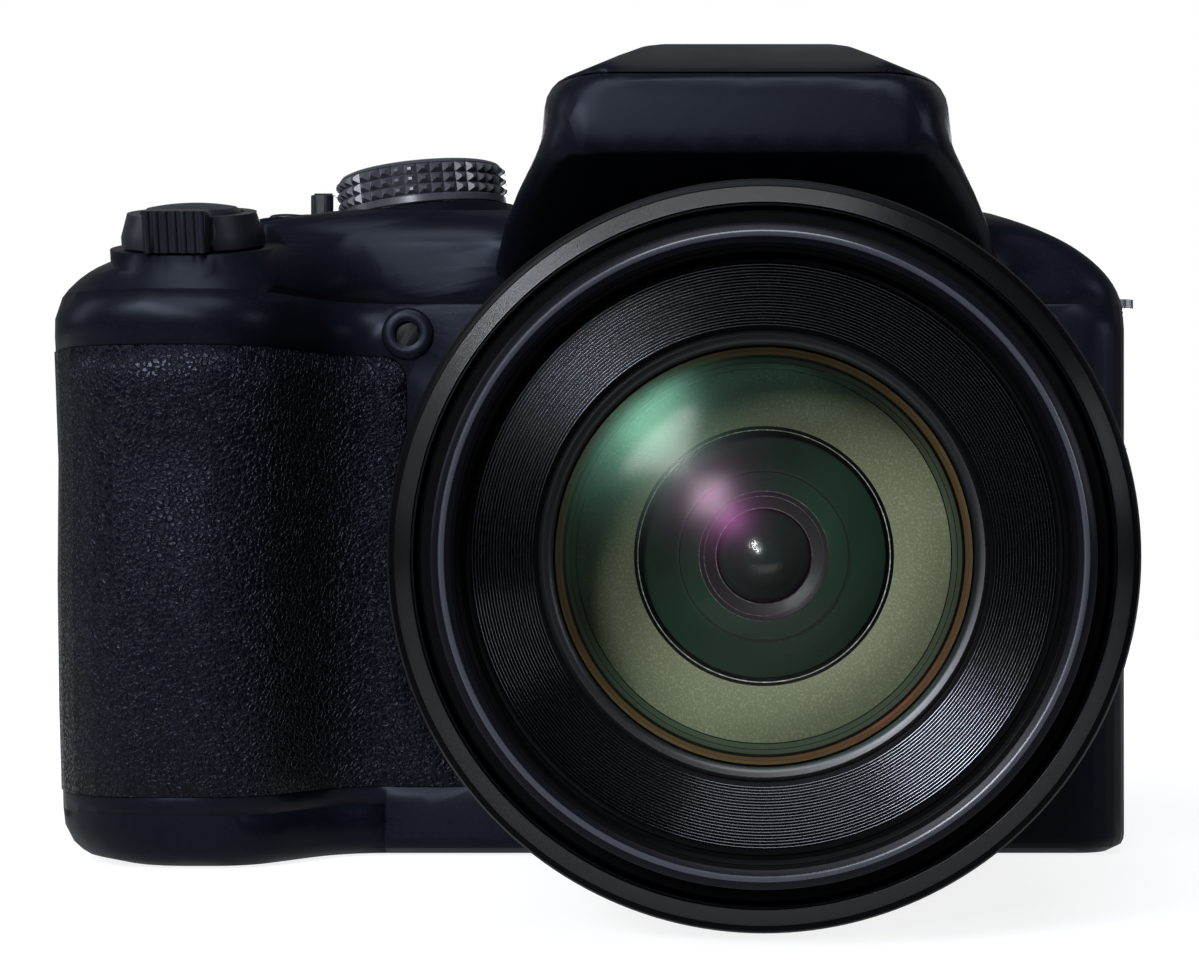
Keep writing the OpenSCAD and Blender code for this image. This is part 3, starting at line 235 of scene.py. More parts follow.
def coated_glass(name, coat, clear, share, rough=0.05, middle=None):
    """Coated glass that shows what is behind it. Its coat, or its middle, gives reflections their colour."""
    made, tree = new_material(name)
    cloud = use(tree, GRAIN, {"Grains per metre": 300.0, "Depth": 0.0})
    edge = put(tree, "ShaderNodeFresnel", {"IOR": 1.5})
    part = sums(tree, "MULTIPLY", edge.outputs[0], share)
    haze = between(tree, cloud["Tone"], 0.3, 0.7, rough * 0.8, rough * 1.2)
    through = put(tree, "ShaderNodeBsdfTransparent", {"Color": (*clear, 1)})
    mirror = put(tree, "ShaderNodeBsdfGlossy", {"Color": (*coat, 1), "Roughness": haze})
    if middle:
        outer = between(tree, use(tree, TURNED)["Radius"], 0.009, 0.014)
        tree.links.new(mixed(tree, outer, (*middle, 1), (*coat, 1)), mirror.inputs["Color"])
    both = put(tree, "ShaderNodeMixShader", {0: part, 1: through.outputs[0], 2: mirror.outputs[0]})
    close(tree, both.outputs[0])
    return made


SHELL = plastic("Moulded shell", (0.0028, 0.0034, 0.006), (0.005, 0.006, 0.0096), 0.37,
                gloss=0.13, sheen=BLUISH)
CONTROL = plastic("Control plastic", (0.009, 0.01, 0.0145), (0.013, 0.0145, 0.02), 0.36,
                  5200.0, 0.000006, gloss=0.18)
KNURL = plastic("Dial metal", (0.036, 0.038, 0.046), (0.055, 0.058, 0.068), 0.3,
                5200.0, 0.000006, gloss=0.7)
SOFT = plastic("Soft rubber", (0.006, 0.0065, 0.008), (0.01, 0.0105, 0.012), 0.6,
               2600.0, 0.00002, gloss=0.15)
GRIP = leather()
BARREL = turned("Barrel black", (0.0012, 0.0013, 0.002), 0.34, gloss=0.06)
RIM = turned("Front rim", (0.0038, 0.0042, 0.0068), 0.32, gloss=0.1)
# The rim's tip is glossier and far lighter than the rim: its lighter colour is a painted highlight line
RIM_HIGHLIGHT = turned("Rim edge with painted highlight", (0.04, 0.043, 0.055), 0.25, gloss=0.6)
RING = turned("Name ring black", (0.0014, 0.0014, 0.002), 0.5, gloss=0.06)
RIDGE = turned("Fine ridges", (0.11, 0.112, 0.125), 0.18, 1.0)
CONE_RIDGE = turned("Barrel ridges", (0.0012, 0.0013, 0.0018), 0.24, gloss=0.45)
MATT = turned("Matt black", (0.0012, 0.0012, 0.0016), 0.7, gloss=0.04)
POLISHED = turned("Polished edge", (0.004, 0.004, 0.005), 0.36, gloss=0.6)
BRONZE = turned("Bronze edge", (0.55, 0.26, 0.07), 0.34, 1.0)
STEEL = plastic("Satin steel", (0.45, 0.45, 0.47), (0.6, 0.6, 0.62), 0.28, 4000.0, 0.000006, 1.0)
BRASS = plastic("Turned brass", (0.5, 0.38, 0.18), (0.62, 0.5, 0.26), 0.3, 4000.0, 0.000006, 1.0)
INNER = plastic("Inside plastic", (0.02, 0.03, 0.025), (0.03, 0.04, 0.035), 0.6, gloss=0.2)
GLOSS = plastic("Screen glass", (0.003, 0.003, 0.004), (0.0032, 0.0032, 0.0042), 0.09,
                1500.0, 0.0000005, gloss=0.4)
LAMP = plastic("Focus lamp", (0.0042, 0.0044, 0.0055), (0.006, 0.0062, 0.0075), 0.5,
               1500.0, 0.000002, gloss=0.15)
BAFFLE = plastic("Olive baffle", (0.18, 0.2, 0.115), (0.26, 0.28, 0.175), 0.55,
                 4600.0, 0.00002, gloss=0.2)
BAFFLE_WALL = plastic("Green baffle wall", (0.11, 0.16, 0.105), (0.18, 0.24, 0.17), 0.5,
                      4600.0, 0.00002, gloss=0.2)
# Pale lines on the edges of the fine rings inside the lens: painted highlights
HIGHLIGHT_LINE = plastic("Pale line of painted highlight", (0.25, 0.27, 0.23), (0.6, 0.62, 0.56), 0.5, 2600.0, gloss=0.3)
MARK = plastic("Printed white", (0.55, 0.56, 0.58), (0.62, 0.63, 0.65), 0.5,
               5200.0, 0.000003, gloss=0.2)
SMOKE = turned("Grey green ring", (0.035, 0.045, 0.04), 0.35, gloss=0.4)
TUNNEL = turned("Dark green tunnel", (0.03, 0.1, 0.052), 0.5, gloss=0.05)
FRONT_GLASS = coated_glass("Front coat", (0.3, 0.68, 0.44), (0.97, 0.98, 0.95), 0.9, 0.28,
                           (0.14, 0.05, 0.12))
REAR_GLASS = coated_glass("Rear coat", (1.0, 0.86, 0.84), (0.98, 0.98, 0.98), 0.24, 0.18)
INNER_GLASS = coated_glass("Violet coat", (0.62, 0.16, 0.5), (0.95, 0.95, 0.95), 0.8, 0.24)
DEEP_LENS = plastic("Deep green lens", (0.014, 0.045, 0.026), (0.015, 0.048, 0.028), 0.18,
                    300.0, 0.0, gloss=1.0)
CLEAR = coated_glass("Clear window", (0.9, 0.92, 1.0), (0.92, 0.94, 0.95), 1.0)

# Finish of each material slot, and the nodes that differ from their slot
FINISH = {"body": SHELL, "rubber": SOFT, "barrel": BARREL, "control": CONTROL, "bright": STEEL,
          "glass": CLEAR, "screen": GLOSS, "baffle": INNER, "steel": STEEL, "brass": BRASS,
          "alloy": STEEL, "inside": INNER}
SPECIAL = {"grip_rubber": GRIP, "af_lamp_lens": LAMP, "shutter_button": CONTROL, "movie_button": CONTROL,
           "lens_mount": BARREL}


# Pieces


def piece(name, mesh, body, material, stands_for=()):
    """Object that rides on a body and, where nodes are named, takes their place."""
    made = bpy.data.objects.new(name, mesh)
    bpy.context.scene.collection.objects.link(made)
    if not mesh.materials:
        mesh.materials.append(material)
    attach(made, body)
    if stands_for:
        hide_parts(*stands_for)
    return made


def smooth(mesh, angle):
    """Soft shading over the edges that bend less than the angle in degrees."""
    mesh.polygons.foreach_set("use_smooth", [True] * len(mesh.polygons))
    mesh.set_sharp_from_angle(angle=math.radians(angle))


def drop_folds(form):
    """Removes pairs of faces that lie back to back on the same corners."""
    found = {}
    for face in form.faces:
        found.setdefault(frozenset(face.verts), []).append(face)
    folded = [face for faces in found.values() for face in faces[:len(faces) // 2 * 2]]
    bmesh.ops.delete(form, geom=folded, context="FACES")


def refine(form, longest):
    """Splits the long edges of a mesh, so that its shading can change over a short way."""
    for _ in range(6):
        long_edges = [edge for edge in form.edges if edge.calc_length() > longest]
        if not long_edges:
            break
        bmesh.ops.subdivide_edges(form, edges=long_edges, cuts=1)
        bmesh.ops.triangulate(form, faces=[face for face in form.faces if len(face.verts) > 3])
        drop_folds(form)


def even_shading(mesh, rounds):
    """Averages the shading of a triangle mesh over its soft edges, and stops at its sharp ones."""
    count = len(mesh.loops)
    corner_edge = np.empty(count, dtype=np.int64)
    mesh.loops.foreach_get("edge_index", corner_edge)
    facing = np.empty(len(mesh.polygons) * 3, dtype=np.float32)
    mesh.polygons.foreach_get("normal", facing)
    areas = np.empty(len(mesh.polygons), dtype=np.float32)
    mesh.polygons.foreach_get("area", areas)
    sharp = np.zeros(len(mesh.edges), dtype=bool)
    mesh.attributes["sharp_edge"].data.foreach_get("value", sharp)
    corners = np.arange(count)
    following = corners - corners % 3 + (corners + 1) % 3
    order = np.argsort(corner_edge, kind="stable")
    pairs = np.flatnonzero(corner_edge[order[1:]] == corner_edge[order[:-1]])
    first, second = order[pairs], order[pairs + 1]
    soft = ~sharp[corner_edge[first]]
    first, second = first[soft], second[soft]
    here = np.concatenate((first, following[first]))
    there = np.concatenate((following[second], second))
    # Corners that meet over soft edges form one group, which shares a normal
    group = corners.copy()
    for _ in range(64):
        least = np.minimum(group[here], group[there])
        before = group.copy()
        np.minimum.at(group, here, least)
        np.minimum.at(group, there, least)
        if np.array_equal(before, group):
            break
    normals = np.zeros((count, 3))
    weight = np.repeat(facing.reshape(-1, 3) * areas[:, None], 3, axis=0)
    np.add.at(normals, group, weight)
    normals /= np.maximum(np.linalg.norm(normals, axis=1, keepdims=True), 1e-12)
    # Each round mixes a group's normal with those at the other ends of its edges
    for _ in range(rounds):
        mean = normals.copy()
        np.add.at(mean, group, normals[group[following]])
        np.add.at(mean, group[following], normals[group])
        normals = mean / np.maximum(np.linalg.norm(mean, axis=1, keepdims=True), 1e-12)
    mesh.normals_split_custom_set(normals[group].tolist())


# Shells that get a finer mesh, its longest edge in metres, and the rounds of even shading on it
SHELL_PIECES = {"front_shell", "top_cover", "rear_shell", "bottom_cover", "grip_rubber", "flash_head"}
LONGEST_EDGE = 0.0018
SHADING_ROUNDS = 8
# Corners of a node nearer than this are joined, in metres
JOIN_WITHIN = 2e-6


def skin(node, material, angle=32):
    """Copy of a CAD node with joined facets, so that its curved faces shade smoothly."""
    form = bmesh.new()
    form.from_mesh(frame["nodes"][node].data)
    bmesh.ops.remove_doubles(form, verts=form.verts, dist=JOIN_WITHIN)
    if node in SHELL_PIECES:
        refine(form, LONGEST_EDGE)
    mesh = bpy.data.meshes.new(node + "_skin")
    form.to_mesh(mesh)
    form.free()
    mesh.materials.clear()
    smooth(mesh, angle)
    even_shading(mesh, SHADING_ROUNDS if node in SHELL_PIECES else 0)
    return piece(node + "_skin", mesh, body_of[node], material, [node])


def lathe(name, rows, materials, matrix=LENS, steps=192):
    """Closed mesh turned from rows of radius and height in millimetres, with each row's material."""
    mesh = bpy.data.meshes.new(name)
    points = []
    starts = []
    for radius, height, _ in rows:
        starts.append(len(points))
        for step in range(steps if radius > 0 else 1):
            angle = 2 * math.pi * step / steps
            points.append((radius * math.cos(angle), radius * math.sin(angle), height))
    faces = []
    kinds = []
    for k, (radius, _, kind) in enumerate(rows):
        nxt = (k + 1) % len(rows)
        if radius == 0 and rows[nxt][0] == 0:
            continue
        for step in range(steps):
            turn = (step + 1) % steps
            a = [starts[k] + (step if radius > 0 else 0), starts[k] + (turn if radius > 0 else 0)]
            wide = rows[nxt][0] > 0
            b = [starts[nxt] + (turn if wide else 0), starts[nxt] + (step if wide else 0)]
            faces.append(list(dict.fromkeys(a + b)))
            kinds.append(kind)
    mesh.from_pydata(points, [], faces)
    for material in materials:
        mesh.materials.append(material)
    mesh.polygons.foreach_set("material_index", kinds)
    mesh.transform(matrix @ SCALE)
    smooth(mesh, 24)
    return mesh


# Geometry node groups for what repeats


def new_growth(name, ins):
    """Empty geometry group with named inputs and one geometry output."""
    tree = bpy.data.node_groups.new(name, "GeometryNodeTree")
    for label, kind in ins.items():
        tree.interface.new_socket(label, in_out="INPUT", socket_type="NodeSocket" + kind)
    tree.interface.new_socket("Geometry", in_out="OUTPUT", socket_type="NodeSocketGeometry")
    return tree, tree.nodes.new("NodeGroupInput").outputs, tree.nodes.new("NodeGroupOutput").inputs


def finish_growth(tree, geometry, material, out):
    """Makes instances real, paints them and joins them to the output."""
    whole = put(tree, "GeometryNodeRealizeInstances", {0: geometry}).outputs[0]
    painted = put(tree, "GeometryNodeSetMaterial", {"Geometry": whole, "Material": material}).outputs[0]
    tree.links.new(painted, out["Geometry"])
    return tree


def vector(tree, x, y, z):
    return put(tree, "ShaderNodeCombineXYZ", {0: x, 1: y, 2: z}).outputs[0]


def ridge_group():
    """Row of round beads, each a ring, whose radius and height change evenly along the row."""
    tree, ins, out = new_growth("Ring ridges", {
        "Count": "Int", "First radius": "Float", "Last radius": "Float", "First height": "Float",
        "Last height": "Float", "Bead": "Float", "Material": "Material"})
    line = put(tree, "GeometryNodeMeshLine", {
        "Count": ins["Count"], "Start Location": vector(tree, 0.0, 0.0, ins["First height"]),
        "Offset": vector(tree, 0.0, 0.0, ins["Last height"])}, mode="END_POINTS")
    share = sums(tree, "DIVIDE", put(tree, "GeometryNodeInputIndex").outputs[0],
                 sums(tree, "SUBTRACT", ins["Count"], 1.0))
    spread = sums(tree, "SUBTRACT", ins["Last radius"], ins["First radius"])
    radius = sums(tree, "MULTIPLY_ADD", share, spread, ins["First radius"])
    circle = put(tree, "GeometryNodeCurvePrimitiveCircle", {"Resolution": 192, "Radius": 1.0})
    rings = put(tree, "GeometryNodeInstanceOnPoints", {
        "Points": line.outputs[0], "Instance": circle.outputs[0], "Scale": vector(tree, radius, radius, 1.0)})
    curves = put(tree, "GeometryNodeRealizeInstances", {0: rings.outputs[0]})
    even = put(tree, "GeometryNodeSetCurveRadius", {"Curve": curves.outputs[0], "Radius": 1.0})
    bead = put(tree, "GeometryNodeCurvePrimitiveCircle", {"Resolution": 6, "Radius": ins["Bead"]})
    solid = put(tree, "GeometryNodeCurveToMesh", {"Curve": even.outputs[0], "Profile Curve": bead.outputs[0]})
    return finish_growth(tree, solid.outputs[0], ins["Material"], out)


def stud_group():
    """Studs set in columns and rows round a drum, each a pyramid with a small flat top."""
    tree, ins, out = new_growth("Drum studs", {
        "Columns": "Int", "Rows": "Int", "Radius": "Float", "First height": "Float", "Pitch": "Float",
        "Stud height": "Float", "Material": "Material"})
    grid = put(tree, "GeometryNodeMeshGrid", {"Vertices X": ins["Columns"], "Vertices Y": ins["Rows"]})
    index = put(tree, "GeometryNodeInputIndex").outputs[0]
    column = sums(tree, "FLOOR", sums(tree, "DIVIDE", sums(tree, "ADD", index, 0.5), ins["Rows"]))
    row = sums(tree, "SUBTRACT", index, sums(tree, "MULTIPLY", column, ins["Rows"]))
    turn = sums(tree, "DIVIDE", sums(tree, "MULTIPLY", column, 2 * math.pi), ins["Columns"])
    place = vector(tree, sums(tree, "MULTIPLY", sums(tree, "COSINE", turn), ins["Radius"]),
                   sums(tree, "MULTIPLY", sums(tree, "SINE", turn), ins["Radius"]),
                   sums(tree, "MULTIPLY_ADD", row, ins["Pitch"], ins["First height"]))
    points = put(tree, "GeometryNodeSetPosition", {"Geometry": grid.outputs[0], "Position": place})
    stud = put(tree, "GeometryNodeMeshCone", {
        "Vertices": 4, "Radius Top": 0.26 / math.sqrt(2), "Radius Bottom": 1 / math.sqrt(2), "Depth": 1.0})
    squared = put(tree, "GeometryNodeTransform", {
        "Geometry": stud.outputs[0], "Rotation": (0, 0, math.radians(45))})
    width = sums(tree, "DIVIDE", sums(tree, "MULTIPLY", ins["Radius"], 2 * math.pi), ins["Columns"])
    studs = put(tree, "GeometryNodeInstanceOnPoints", {
        "Points": points.outputs[0], "Instance": squared.outputs[0],
        "Rotation": vector(tree, 0.0, math.pi / 2, turn),
        "Scale": vector(tree, ins["Pitch"], width, ins["Stud height"])})
    return finish_growth(tree, studs.outputs[0], ins["Material"], out)


def tick_group():
    """Ring of short raised bars that point to the middle, as the marks of a dial."""
    tree, ins, out = new_growth("Dial marks", {
        "Count": "Int", "Radius": "Float", "Height": "Float", "Length": "Float", "Width": "Float",
        "Material": "Material"})
    ring = put(tree, "GeometryNodeMeshCircle", {"Vertices": ins["Count"], "Radius": ins["Radius"]})
    index = put(tree, "GeometryNodeInputIndex").outputs[0]
    turn = sums(tree, "DIVIDE", sums(tree, "MULTIPLY", index, 2 * math.pi), ins["Count"])
    lifted = put(tree, "GeometryNodeTransform", {
        "Geometry": ring.outputs[0], "Translation": vector(tree, 0.0, 0.0, ins["Height"])})
    bar = put(tree, "GeometryNodeMeshCube", {"Size": vector(tree, ins["Length"], ins["Width"], 0.1)})
    bars = put(tree, "GeometryNodeInstanceOnPoints", {
        "Points": lifted.outputs[0], "Instance": bar.outputs[0], "Rotation": vector(tree, 0.0, 0.0, turn)})
    return finish_growth(tree, bars.outputs[0], ins["Material"], out)


RIDGES = ridge_group()
STUDS = stud_group()
TICKS = tick_group()


def grown(name, group, values, material, matrix):
    """Plain mesh that a geometry node group makes, in millimetres of the given frame."""
    host = bpy.data.objects.new(name, bpy.data.meshes.new(name + "_host"))
    bpy.context.scene.collection.objects.link(host)
    modifier = host.modifiers.new("Grow", "NODES")
    modifier.node_group = group
    sockets = [item for item in group.interface.items_tree if item.in_out == "INPUT"]
    for socket in sockets:
        modifier[socket.identifier] = material if socket.name == "Material" else values[socket.name]
    graph = bpy.context.evaluated_depsgraph_get()
    mesh = bpy.data.meshes.new_from_object(host.evaluated_get(graph), depsgraph=graph)
    bpy.data.objects.remove(host)
    mesh.transform(matrix @ SCALE)
    return mesh


def ridges(name, body, material, count, first, last, bead, matrix=LENS):
    """Fine beads between two places given as radius and distance along the axis."""
    values = {"Count": count, "First radius": first[0], "Last radius": last[0],
              "First height": first[1], "Last height": last[1], "Bead": bead}
    mesh = grown(name, RIDGES, values, material, matrix)
    smooth(mesh, 70)
    return piece(name, mesh, body, material)


# Lens: millimetres from the axis and ahead of the tripod socket. The third value of a row picks its material.

BARREL_BACK = 15.0
BARREL_IN = 31.4
BARREL_R = 33.5
BARREL_TIP = 83.0
RIM_TIP = 88.0
GLASS_R = 19.2
GLASS_EDGE = 73.9
BAFFLE_R = 12.2
SECOND_R = 12.1
DEEP_R = 4.5


def fixed_barrel():
    """Outer barrel, flared at its tip, with the ridged front cone."""
    rows = [(BARREL_IN, BARREL_BACK, 0), (BARREL_R, BARREL_BACK, 0), (BARREL_R, 64.0, 0), (33.8, 66.0, 0),
            (34.35, 71.0, 0), (34.5, 74.0, 0), (34.5, 79.0, 0), (34.42, 79.5, 0), (34.2, 79.9, 0),
            (33.72, 80.15, 1), (BARREL_R, 80.2, 1), (31.72, 82.75, 0), (31.65, BARREL_TIP, 0),
            (31.5, BARREL_TIP, 0), (BARREL_IN, 82.8, 0)]
    mesh = lathe("fixed_barrel_turned", rows, [BARREL, MATT])
    piece("fixed_barrel_turned", mesh, "camera_body", BARREL, ["fixed_barrel"])
    ridges("barrel_ridges", "camera_body", CONE_RIDGE, 17, (BARREL_R, 80.35), (31.85, 82.7), 0.11)


def first_zoom_barrel():
    """Plain tube between the outer barrel and the rim."""
    rows = [(29.7, 40.0, 0), (31.1, 40.0, 0), (31.1, 82.7, 0), (30.8, BARREL_TIP, 1), (29.75, BARREL_TIP, 0),
            (29.7, 82.9, 0)]
    mesh = lathe("zoom_barrel_1_turned", rows, [BARREL, MATT])
    piece("zoom_barrel_1_turned", mesh, "zoom_stage_1", BARREL, ["zoom_barrel_1"])


def second_zoom_barrel():
    """Tube with the front rim, its edge lighter as a painted highlight, and the filter thread inside it."""
    rows = [(28.0, 46.0, 0), (29.4, 46.0, 0), (29.4, 87.1, 1), (29.3, 87.5, 1), (29.05, 87.75, 1),
            (28.62, 87.93, 3), (28.5, RIM_TIP, 3), (28.25, RIM_TIP, 3), (28.1, 87.95, 1), (27.6, 87.7, 2),
            (27.25, 87.5, 2), (27.2, 84.2, 2), (26.8, 84.2, 2), (26.8, 75.0, 0), (28.0, 75.0, 0)]
    mesh = lathe("zoom_barrel_2_turned", rows, [BARREL, RIM, MATT, RIM_HIGHLIGHT])
    piece("zoom_barrel_2_turned", mesh, "zoom_stage_2", RIM, ["zoom_barrel_2"])
    ridges("filter_thread", "zoom_stage_2", BARREL, 5, (27.22, 84.7), (27.22, 87.1), 0.12)


def name_ring():
    """Sunk cone with fine ridges, and the polished lip that holds the front lens."""
    rows = [(19.4, 76.0, 1), (26.7, 76.0, 0), (26.7, 84.2, 0), (26.4, 84.2, 0), (26.3, 84.0, 0),
            (21.1, 78.2, 0), (20.75, 78.0, 1), (20.6, 78.15, 1), (20.3, 78.28, 1), (19.9, 78.2, 1),
            (19.6, 78.0, 1), (19.4, 77.7, 1)]
    mesh = lathe("name_ring_turned", rows, [RING, POLISHED])
    piece("name_ring_turned", mesh, "zoom_stage_2", RING, ["name_ring"])
    ridges("name_ring_ridges", "zoom_stage_2", RIDGE, 21, (26.1, 83.9), (21.25, 78.45), 0.09)


def dome(radius, edge, rise, kind, count=14):
    """Rows of a convex face, from its rim to its middle."""
    rows = []
    for k in range(count + 1):
        r = radius * (1 - k / count)
        rows.append((r, edge + rise * (1 - (r / radius) ** 2), kind))
    return rows


def front_element():
    """Large front lens, hollow behind, with a bronze edge."""
    rear = [(radius, height, 1) for radius, height, _ in reversed(dome(GLASS_R, GLASS_EDGE, 4.3, 1))]
    rows = rear[:-1] + [(GLASS_R, GLASS_EDGE, 2)] + dome(GLASS_R, 77.6, 3.6, 0)
    mesh = lathe("front_element_turned", rows, [FRONT_GLASS, REAR_GLASS, BRONZE])
    piece("front_element_turned", mesh, "zoom_stage_2", FRONT_GLASS, ["front_element"])


def inner_baffle():
    """Olive floor with a green wall behind the front lens, and a pale line of painted highlight round its
    hole.
    """
    rows = [(BAFFLE_R, 60.0, 2), (27.8, 60.0, 2), (27.8, 74.9, 2), (19.3, 74.9, 2), (19.22, 73.4, 3),
            (18.98, 72.2, 2), (18.75, 71.4, 1), (18.65, 67.5, 2), (18.6, 67.3, 1), (18.4, 63.6, 2),
            (18.3, 63.4, 0), (12.75, 63.0, 2), (12.42, 62.9, 4), (12.33, 62.9, 2), (BAFFLE_R, 62.7, 2)]
    mesh = lathe("inner_baffle_turned", rows, [BAFFLE, BAFFLE_WALL, MATT, BRONZE, HIGHLIGHT_LINE])
    piece("inner_baffle_turned", mesh, "zoom_stage_2", BAFFLE, ["inner_baffle"])


def second_group():
    """Violet-coated dome, and behind it the dark tunnel, two fine rings with pale lines of painted highlight
    on their edges, and the small deep lens.
    """
    rows = [(0, 61.2, 0), (SECOND_R, 61.2, 1)] + dome(SECOND_R, 62.0, 2.7, 0)
    mesh = lathe("second_element_turned", rows, [INNER_GLASS, MATT])
    piece("second_element_turned", mesh, "zoom_stage_2", INNER_GLASS, ["second_element"])
    rows = [(0, 58.1, 0), (12.0, 58.1, 0), (12.0, 60.9, 3), (8.7, 59.8, 3), (8.45, 59.85, 1), (8.35, 59.7, 3),
            (6.5, 59.3, 2), (6.43, 59.4, 1), (6.25, 59.3, 1), (6.0, 59.2, 2), (5.95, 59.25, 1),
            (4.85, 58.9, 2), (4.76, 59.0, 0), (4.6, 58.9, 0), (4.55, 58.4, 3), (0, 58.3, 0)]
    mesh = lathe("inner_tunnel", rows, [MATT, SMOKE, HIGHLIGHT_LINE, TUNNEL])
    piece("inner_tunnel", mesh, "zoom_stage_2", MATT)
    rows = [(0, 58.45, 0), (DEEP_R, 58.45, 0)] + dome(DEEP_R, 58.6, 2.3, 0)
    piece("deep_lens", lathe("deep_lens", rows, [DEEP_LENS]), "zoom_stage_2", DEEP_LENS)


fixed_barrel()
first_zoom_barrel()
second_zoom_barrel()
name_ring()
front_element()
inner_baffle()
second_group()


# Mode dial and small trim


def mode_dial():
    """Drum on a short shaft, with studs round its rim and marks on its dark top."""
    rows = [(0, -3.4, 0), (2.0, -3.4, 0), (2.0, 0.3, 0), (10.2, 0.3, 0), (10.4, 0.45, 0), (10.4, 1.2, 0),
            (10.25, 1.3, 0), (9.95, 1.35, 1), (9.95, 4.9, 1), (10.0, 5.1, 0), (9.7, 5.45, 0), (9.3, 5.6, 0),
            (8.3, 5.6, 0), (8.0, 5.4, 1), (0, 5.4, 1)]
    mesh = lathe("mode_dial_turned", rows, [KNURL, CONTROL], DIAL)
    piece("mode_dial_turned", mesh, "mode_dial", KNURL, ["mode_dial"])
    values = {"Columns": 40, "Rows": 3, "Radius": 9.9, "First height": 2.02, "Pitch": 1.22,
              "Stud height": 0.58}
    mesh = grown("mode_dial_studs", STUDS, values, KNURL, DIAL)
    piece("mode_dial_studs", mesh, "mode_dial", KNURL)
    values = {"Count": 12, "Radius": 6.7, "Height": 5.42, "Length": 1.5, "Width": 0.35}
    mesh = grown("mode_dial_marks", TICKS, values, MARK, DIAL)
    piece("mode_dial_marks", mesh, "mode_dial", MARK)


def lamp_hood():
    """Rounded lip round the focus lamp, placed by the lamp's own box."""
    spots = [Vector(spot) / MM for spot in frame["nodes"]["af_lamp_lens"].bound_box]
    low = [min(spot[k] for spot in spots) for k in range(3)]
    high = [max(spot[k] for spot in spots) for k in range(3)]
    face = -low[1]
    place = Vector(((low[0] + high[0]) / 2, 0, (low[2] + high[2]) / 2)) * MM
    matrix = Matrix.Translation(place) @ AHEAD
    rows = [(1.43, face - 0.3, 0), (3.12, face - 0.3, 0), (3.02, face + 0.1, 0), (2.85, face + 0.32, 0),
            (2.6, face + 0.46, 0), (2.3, face + 0.53, 0), (1.9, face + 0.53, 0), (1.6, face + 0.48, 0),
            (1.47, face + 0.42, 0), (1.43, face + 0.3, 0)]
    mesh = lathe("focus_lamp_hood", rows, [SHELL], matrix, 96)
    piece("focus_lamp_hood", mesh, "camera_body", SHELL)


def tripod_thread():
    """Seven beads down the bore of the bush, for its thread."""
    ridges("tripod_thread", "camera_body", STEEL, 7, (2.6, 0.7), (2.6, 5.0), 0.16,
           Matrix.Identity(4))


mode_dial()
lamp_hood()
tripod_thread()

# Nodes that have a shape of their own above; the others are dressed in a smooth copy
SHAPED = {"fixed_barrel", "zoom_barrel_1", "zoom_barrel_2", "name_ring", "front_element", "inner_baffle",
          "second_element", "mode_dial"}
for node in frame["nodes"]:
    if node not in SHAPED:
        skin(node, SPECIAL.get(node, FINISH[slot_of[node]]))


# Stage

# Metres: half the floor's width, its near and far edges, and how far it lies below the object
FLOOR_HALF = 0.6
FLOOR_NEAR = -0.14
FLOOR_FAR = 0.7
FLOOR_DROP = 0.0002
# How much of the white background mirror and clear surfaces see in the floor, and behind the object
FLOOR_SHARE = 0.35
BEHIND_SHARE = 0.2
# Distance of the view from the tripod socket in metres, its focal length in millimetres, and its shifts
VIEW_AWAY = 0.3
VIEW_FOCAL = 72.6
VIEW_SHIFT = (-0.1372, 0.0555)
LAMP_TINT = (0.88, 0.92, 1.0)
# Middle of the object, where lamps aim
MIDDLE = (0, -0.03, 0.045)


def seen_rays(tree):
    """Share of 1 for what shows the background: the camera, and mirror and clear surfaces."""
    path = put(tree, "ShaderNodeLightPath").outputs
    return path["Is Camera Ray"], sums(tree, "MAXIMUM", path["Is Glossy Ray"], path["Is Transmission Ray"])


def white_floor():
    """Floor, white from above with the object's shadow and a painted shadow near the object, dull grey to
    other light and clear from below.
    """
    made, tree = new_material("White floor")
    direct, mirrored = seen_rays(tree)
    place = put(tree, "ShaderNodeTexCoord").outputs["Object"]
    away = put(tree, "ShaderNodeVectorMath", {0: place}, operation="LENGTH").outputs["Value"]
    # The glow dims to 0.85 near the object's middle: a painted shadow round the object
    glow_with_painted_shadow = put(tree, "ShaderNodeEmission", {
        "Color": (1, 1, 1, 1), "Strength": between(tree, away, 0.05, 0.3, 0.85, 1.0)})
    lit = put(tree, "ShaderNodeBsdfDiffuse", {"Color": (0.24, 0.24, 0.24, 1)})
    white = put(tree, "ShaderNodeAddShader", {0: glow_with_painted_shadow.outputs[0], 1: lit.outputs[0]})
    both = put(tree, "ShaderNodeMixShader", {
        0: sums(tree, "MAXIMUM", direct, sums(tree, "MULTIPLY", mirrored, FLOOR_SHARE)),
        1: lit.outputs[0], 2: white.outputs[0]})
    clear = put(tree, "ShaderNodeBsdfTransparent")
    below = sums(tree, "MAXIMUM", put(tree, "ShaderNodeNewGeometry").outputs["Backfacing"],
                 put(tree, "ShaderNodeLightPath").outputs["Is Shadow Ray"])
    one_way = put(tree, "ShaderNodeMixShader", {0: below, 1: both.outputs[0], 2: clear.outputs[0]})
    close(tree, one_way.outputs[0])
    return made


